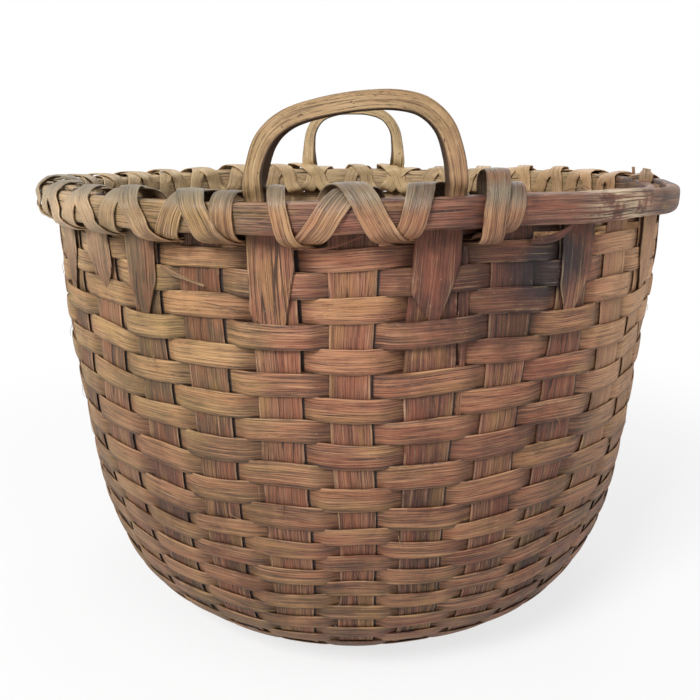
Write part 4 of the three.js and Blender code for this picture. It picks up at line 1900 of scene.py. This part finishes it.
    def _lay(self, rows: list[tuple[float, ...]]) -> Path:
        """Sets a strand's line in the basket, with its face away from the rim's middle.

        Args:
            rows: Places in stakes, out, up, half width and crown.

        Returns:
            The path.
        """
        form = self.shop.form
        scale = np.array([STAKE_SCALE, 1, 1, 1, 0.01])
        line = smooth_line(np.array(rows) * scale, 3) / scale
        spots = [form.at(form.angle_of(row[0]), row[1], 0, row[2]) for row in line]
        path = Path()
        for i, (place, out, up, half, crown) in enumerate(line):
            before, after = neighbours(spots, i)
            way = (after - before).normalized()
            before, after = neighbours(line, i)
            turn = after[1:3] - before[1:3]
            away = Vector((out - self.core_out, up - self.core_up))
            flat = Vector((turn[1], -turn[0]))
            if flat.length < 1e-7:
                flat = away
            if flat.dot(away) < 0:
                flat = -flat
            face = form.at(form.angle_of(place), flat.x, 0, flat.y).normalized()
            across = way.cross(face).normalized()
            deep = self.thickness / 2
            path.add(spots[i], across, across.cross(way), float(half), deep, clamp(float(crown)))
        return path


class End(Enum):
    """The two handles."""

    FRONT = "handle_front"
    REAR = "handle_rear"


@dataclass(frozen=True)
class Bow:
    """One handle's sizes and the line of its bow as shares of its half span and height."""

    half_span: float
    height: float
    width: float
    leg_width: float
    tail_width: float
    depth: float
    offset: float
    twists: tuple[float, float]
    tone: float
    shares: tuple[tuple[float, float], ...]

    def leg_side(self, sign: int, form: Form) -> float:
        """Gives how far a leg stands to the side of its stake."""
        turn = math.asin(self.half_span / form.stake_radius) - form.stake_angle
        return sign * form.stake_radius * math.sin(turn) + self.offset


@dataclass
class Handles:
    """The two bent sticks, full above the rim and shaved to thin tails inside the wall."""

    shop: Workshop
    leg_thickness: float = 0.004
    leg_inset: float = 0.0007
    tail_thickness: float = 0.002
    tail_narrowing: float = 0.7
    tail_end: float = 0.084
    tail_middle: float = 0.6
    tail_top: float = 0.025
    shoulder: float = 0.0016
    neck: float = 0.009
    corner: float = 0.26
    crown: float = 0.9
    wear: float = 0.16
    sides: int = 32
    step: float = 0.002
    bows: dict[End, Bow] = field(default_factory=lambda: {
        End.FRONT: Bow(0.0518, 0.0468, 0.0098, 0.0118, 0.009, 0.009, 0.0, (-0.42, 0.06), 0.5, (
            (-1, 0.13), (-0.96, 0.32), (-0.85, 0.6), (-0.65, 0.8), (-0.33, 0.92), (0.045, 0.99),
            (0.44, 1), (0.68, 0.93), (0.87, 0.74), (0.965, 0.45), (1, 0.13),
        )),
        End.REAR: Bow(0.047, 0.0605, 0.0096, 0.0146, 0.011, 0.009, 0.0063, (-0.15, 0.15), 0.72, (
            (-1, 0.12), (-0.99, 0.4), (-0.93, 0.66), (-0.72, 0.88), (-0.38, 0.98), (0, 1),
            (0.38, 0.98), (0.72, 0.88), (0.93, 0.66), (0.99, 0.4), (1, 0.12),
        )),
    })

    def leg_places(self) -> list[tuple[float, Bow]]:
        """Finds the legs.

        Returns:
            Where each stands along the rim, counted in stakes, with its bow.
        """
        form = self.shop.form
        places = []
        for end, bow in self.bows.items():
            middle = form.stake_count / 2 if end is End.REAR else 0
            for sign in (-1, 1):
                beside = bow.leg_side(sign, form) / (form.stake_radius * form.stake_angle)
                places.append((middle + sign + beside, bow))
        return places

    def build(self) -> list[bpy.types.Object]:
        """Builds both handles.

        Returns:
            The front and the rear handle.
        """
        pieces = []
        for end, bow in self.bows.items():
            mesh = self.shop.strip(
                self._path(end, bow), Slot.HANDLE, bow.tone, wear=self.wear, cup=0.0,
                round_out=self.corner, round_in=self.corner, sides=self.sides, step=self.step,
            )
            pieces.append(self.shop.finish(f"{end.value}_bent", [mesh], Slot.HANDLE, [end.value]))
        return pieces

    def _leg(self, bow: Bow, sign: int) -> list[Array]:
        """Draws one leg from the end of its tail to the bow's foot.

        Args:
            bow: The handle's sizes.
            sign: -1 for the left leg, 1 for the right one.

        Returns:
            Rows of a point, the direction out, half the width and half the thickness.
        """
        form = self.shop.form
        thin, narrow = self.tail_thickness, bow.tail_width
        rows = []
        for drop, thickness, width in (
            (self.tail_end, thin * self.tail_narrowing, narrow * self.tail_narrowing),
            (self.tail_end * self.tail_middle, thin, narrow),
            (self.tail_top, thin, narrow),
            (self.neck, self.leg_thickness, bow.leg_width),
            (-self.shoulder, self.leg_thickness, bow.leg_width),
        ):
            (wall,) = form.point(drop)
            turn = sign * form.stake_angle
            out = wall[0] - self.leg_inset - thickness / 2
            spot = form.at(turn, out, bow.leg_side(sign, form), form.rim_height - drop)
            rows.append(np.array([*spot, *form.at(turn, 1, 0, 0), width / 2, thickness / 2]))
        return rows

    def _path(self, end: End, bow: Bow) -> Path:
        """Draws a handle from the end of one tail to the end of the other.

        Args:
            end: Which handle.
            bow: Its sizes.

        Returns:
            The path.
        """
        form = self.shop.form
        leg_out = form.stake_radius - self.leg_inset
        bow_out = leg_out * math.cos(form.stake_angle) - bow.depth / 2
        rows = self._leg(bow, -1)
        middle = (len(bow.shares) - 1) / 2
        for i, (across_share, up_share) in enumerate(bow.shares):
            near = abs(i / middle - 1)
            width = bow.width + (bow.leg_width - bow.width) * near**3
            turned = bow.twists[i > middle] * near * min((1 - near) * 6, 1)
            side = across_share * bow.half_span + bow.offset
            spot = (side, -bow_out, form.rim_height + up_share * bow.height)
            rows.append(np.array([*spot, *form.at(turned, 1, 0, 0), width / 2, bow.depth / 2]))
        rows += self._leg(bow, 1)[::-1]
        line = smooth_line(np.array(rows), 8)
        turn = form.first_angle + (math.pi if end is End.REAR else 0)
        c, s = math.cos(turn), math.sin(turn)
        path = Path()
        for i, row in enumerate(line):
            before, after = neighbours(line, i)
            way = Vector(after[:3] - before[:3]).normalized()
            deep = Vector(row[3:6]).normalized()
            axes = (Vector(row[:3]), deep.cross(way).normalized(), deep)
            spun = [Vector((v.x * c - v.y * s, v.x * s + v.y * c, v.z)) for v in axes]
            path.add(*spun, float(row[6]), float(row[7]), self.crown)
        return path


@dataclass(frozen=True)
class Splinter:
    """A sliver or a cut end; its line is places in stakes, drops from the rim and lifts."""

    line: tuple[tuple[float, float, float], ...]
    width: float
    thickness: float = 0.0007
    slot: Slot = Slot.STAKE
    tone: float = 0.6
    radial: bool = False


@dataclass
class LooseFibres:
    """Slivers and cut ends, and hair-thin fibres that have lifted from the stakes and weavers."""

    shop: Workshop
    count: int = 64
    width: float = 0.0005
    thickness: float = 0.00025
    lengths: tuple[float, float] = (0.005, 0.016)
    drops: tuple[float, float] = (0.028, 0.2)
    upright_share: float = 0.45
    slope_stray: float = 0.5
    curl_stray: float = 0.8
    lift: float = 0.0024
    tip_lift: float = 0.0012
    steps: int = 6
    seed: int = 77
    splinters: tuple[Splinter, ...] = (
        Splinter(
            ((-2.59, 0.0357, 0.0032), (-2.2, 0.0415, 0.005), (-1.9, 0.046, 0.0030)),
            0.0027, slot=Slot.LASHING,
        ),
        Splinter((
            (-0.72, 0.0212, 0.004), (-0.47, 0.0236, 0.005),
            (-0.2, 0.0225, 0.005), (0.115, 0.0180, 0.004),
        ), 0.0013, tone=0.1),
        Splinter((
            (2.2, 0.0252, 0.0035), (2.5, 0.0232, 0.0062),
            (2.72, 0.0185, 0.0062), (2.88, 0.0150, 0.004),
        ), 0.0046, tone=0.1),
        Splinter(
            ((7.45, 0.004, -0.004), (7.45, -0.0050, -0.0035), (7.46, -0.0080, -0.0030)),
            0.0115, 0.0012, Slot.LASHING, radial=True,
        ),
        Splinter(
            ((8.27, 0.004, -0.0025), (8.27, -0.0075, -0.0028)),
            0.0042, 0.0018, Slot.LASHING, radial=True,
        ),
        Splinter((
            (1.36, 0.026, 0.0002), (1.375, 0.06, -0.0002),
            (1.38, 0.09, 0.0002), (1.385, 0.125, -0.0002),
        ), 0.0056, tone=0.3),
        Splinter(
            ((2.62, -0.0006, 0.005), (2.8, -0.0024, 0.008), (2.98, -0.0008, 0.006)),
            0.0006, 0.0004, Slot.HANDLE,
        ),
        Splinter(
            ((2.75, -0.0008, 0.010), (2.86, -0.0030, 0.008), (3.08, -0.0012, 0.005)),
            0.0006, 0.0004, Slot.HANDLE,
        ),
    )

    def build(self) -> list[bpy.types.Object]:
        """Builds the slivers and the fibres.

        Returns:
            The pieces.
        """
        meshes = [self._splinter(splinter) for splinter in self.splinters]
        pieces = [self.shop.finish("loose_slivers", meshes, Slot.STAKE, [])]
        chance = np.random.default_rng(self.seed)
        meshes = []
        for _ in range(self.count):
            path = self._fibre(chance)
            tone = float(chance.uniform(0.5, 1))
            meshes.append(self.shop.strip(path, Slot.LASHING, tone, wear=0.0, cup=0.0, sides=5))
        pieces.append(self.shop.finish("loose_fibres", meshes, Slot.LASHING, []))
        return pieces

    def _splinter(self, splinter: Splinter) -> bpy.types.Mesh:
        """Makes one sliver, which narrows to both ends.

        Args:
            splinter: Its sizes.

        Returns:
            Its mesh.
        """
        form = self.shop.form
        scale = np.array([STAKE_SCALE, 1, 1])
        line = smooth_line(np.array(splinter.line) * scale, 8) / scale
        path = Path()
        spots = []
        for place, drop, lift in line:
            (out, up), _ = form.off_wall(drop, lift, 0.005)
            spots.append(form.at(form.angle_of(place), out, 0, up - min(drop, 0)))
        for i, (place, _, _) in enumerate(line):
            before, after = neighbours(spots, i)
            way = (after - before).normalized()
            side, radial = (form.at(form.angle_of(place), *axis, 0) for axis in ((0, 1), (1, 0)))
            upright = abs(way.dot(side)) < 0.7
            face = way.cross(radial if splinter.radial else side) if upright else radial
            across = way.cross(face).normalized()
            share = i / (len(line) - 1)
            half = splinter.width / 2 * (0.55 + 0.45 * math.sin(math.pi * min(share * 1.6, 1)))
            path.add(spots[i], across, across.cross(way), half, splinter.thickness / 2, 0.9)
        sizes = {"wear": 0.6, "cup": 0.0, "step": 0.0015, "sides": 12}
        return self.shop.strip(path, splinter.slot, splinter.tone, **sizes)

    def _fibre(self, chance: np.random.Generator) -> Path:
        """Draws one fibre that stands a little off the wall.

        Args:
            chance: Random numbers.

        Returns:
            The path.
        """
        form = self.shop.form
        slope = float(chance.normal(0, self.slope_stray))
        slope += math.pi / 2 if chance.random() < self.upright_share else 0
        angle = form.angle_of(float(chance.uniform(0, form.stake_count)))
        along = float(chance.uniform(*self.drops))
        step = float(chance.uniform(*self.lengths)) / self.steps
        curl = float(chance.normal(0, self.curl_stray))
        path = Path()
        side, down = 0.0, 0.0
        for i in range(self.steps + 1):
            share = i / self.steps
            lift = self.lift + self.tip_lift * math.sin(math.pi * share) * share
            (out, up), normal = form.off_wall(along + down, lift)
            turn = slope + curl * share
            face = form.at(angle, normal[0], 0, normal[1])
            across = form.at(angle, 0, -math.sin(turn), -math.cos(turn))
            half = self.width / 2 * (1.05 - share)
            path.add(form.at(angle, out, side, up), across, face, half, self.thickness / 2, 1.0)
            side += step * math.cos(turn)
            down += step * math.sin(turn)
        return path


@dataclass(frozen=True)
class Lamp:
    """A soft square lamp: where it hangs, its width and its power in watts."""

    place: tuple[float, float, float]
    size: float
    power: float


@dataclass
class Studio:
    """Floor, light and camera."""

    lens: float = 37.36
    sensor_width: float = 36.0
    camera_place: tuple[float, float, float] = (0.0, -0.5917, 0.3462)
    camera_tilt: float = 74.14
    picture_width: float = 700.0
    axis_shift: float = -7.5
    floor_size: float = 6.0
    floor_paint: tuple[float, float, float] = (0.9, 0.9, 0.9)
    floor_roughness: float = 0.9
    floor_white: float = 0.72
    floor_fade: tuple[float, float] = (0.25, 0.8)
    sky: tuple[float, float, float] = (0.94, 0.96, 1.0)
    sky_strength: float = 0.38
    gloss_share: float = 0.8
    lamp_aim: float = 0.18
    lamps: dict[str, Lamp] = field(default_factory=lambda: {
        "key_light": Lamp((-0.74, -1.2, 1.35), 0.55, 28.2),
        "fill_light": Lamp((1.3, -0.9, 0.9), 1.6, 7.2),
        "back_light": Lamp((0.3, 1.4, 1.5), 1.2, 8.0),
    })

    def build(self) -> None:
        """Sets up the whole studio."""
        scene = bpy.context.scene
        scene.view_settings.view_transform = "Standard"
        self._camera(scene)
        self._floor(scene)
        self._world(scene)
        for name, lamp in self.lamps.items():
            self._lamp(name, lamp)

    def _camera(self, scene: bpy.types.Scene) -> None:
        """Puts the camera where the photograph was taken.

        Args:
            scene: The scene.
        """
        data = bpy.data.cameras.new("camera")
        data.lens = self.lens
        data.sensor_width = self.sensor_width
        data.shift_x = self.axis_shift / self.picture_width
        camera = bpy.data.objects.new("camera", data)
        camera.location = self.camera_place
        camera.rotation_euler = (math.radians(self.camera_tilt), 0.0, 0.0)
        scene.collection.objects.link(camera)
        scene.camera = camera

    def _floor(self, scene: bpy.types.Scene) -> None:
        """Lays a plain white floor that keeps the basket's shadow and ends in white far off.

        Args:
            scene: The scene.
        """
        size = self.floor_size
        mesh = bpy.data.meshes.new("floor")
        corners = [(-size, -size, 0), (size, -size, 0), (size, size, 0), (-size, size, 0)]
        mesh.from_pydata(corners, [], [(0, 1, 2, 3)])
        floor = bpy.data.objects.new("floor", mesh)
        scene.collection.objects.link(floor)
        material, bench = new_material("pale_floor")
        looks = {"Base Color": self.floor_paint, "Roughness": self.floor_roughness}
        paint = bench.node("ShaderNodeBsdfPrincipled", values=looks)
        white = bench.node("ShaderNodeEmission", values={"Color": (1.0, 1.0, 1.0), "Strength": 1.0})
        away = bench.node("ShaderNodeTexCoord", out="Object").math("LENGTH")
        seen = bench.node("ShaderNodeLightPath", out="Is Camera Ray")
        share = away.smooth(*self.floor_fade, self.floor_white, 1.0) * seen
        both = bench.node("ShaderNodeMixShader", values={0: share, 1: paint, 2: white})
        bench.node("ShaderNodeOutputMaterial", values={"Surface": both})
        mesh.materials.append(material)

    def _world(self, scene: bpy.types.Scene) -> None:
        """Makes the background white to the camera and an even soft light to the basket.

        Args:
            scene: The scene.
        """
        world = bpy.data.worlds.new("studio")
        scene.world = world
        world.use_nodes = True
        world.node_tree.nodes.clear()
        bench = Bench(world.node_tree)
        ray = bench.node("ShaderNodeLightPath", out="Is Camera Ray")
        glossy = bench.node("ShaderNodeLightPath", out="Is Glossy Ray")
        seen = ray.math("MAXIMUM", glossy * self.gloss_share)
        soft, white = (
            bench.node("ShaderNodeBackground", values={"Color": tint, "Strength": strength})
            for tint, strength in ((self.sky, self.sky_strength), ((1.0, 1.0, 1.0), 1.0))
        )
        both = bench.node("ShaderNodeMixShader", values={0: seen, 1: soft, 2: white})
        bench.node("ShaderNodeOutputWorld", values={"Surface": both})

    def _lamp(self, name: str, lamp: Lamp) -> None:
        """Hangs a lamp that faces the basket.

        Args:
            name: Its name.
            lamp: Its place, size and power.
        """
        data = bpy.data.lights.new(name, "AREA")
        data.energy = lamp.power
        data.size = lamp.size
        light = bpy.data.objects.new(name, data)
        light.location = lamp.place
        aim = Vector((0, 0, self.lamp_aim)) - Vector(lamp.place)
        light.rotation_euler = aim.to_track_quat("-Z", "Y").to_euler()
        bpy.context.scene.collection.objects.link(light)


def main() -> None:
    """Builds the basket's looks and the studio."""
    logging.basicConfig(level=logging.INFO, format="%(name)s: %(message)s")
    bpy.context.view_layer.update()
    form = Form()
    shop = Workshop(form, Finishes(), Settling())
    hoops = RimHoops(shop)
    handles = Handles(shop)
    lashing = Lashing(shop, hoops, handles)
    for assembly in (Splints(shop), WovenWall(shop), hoops, lashing, handles, LooseFibres(shop)):
        pieces = assembly.build()
        LOG.info("%s: %d pieces", type(assembly).__name__, len(pieces))
    Studio().build()
    bpy.context.view_layer.update()


if __name__ == "__main__":
    main()
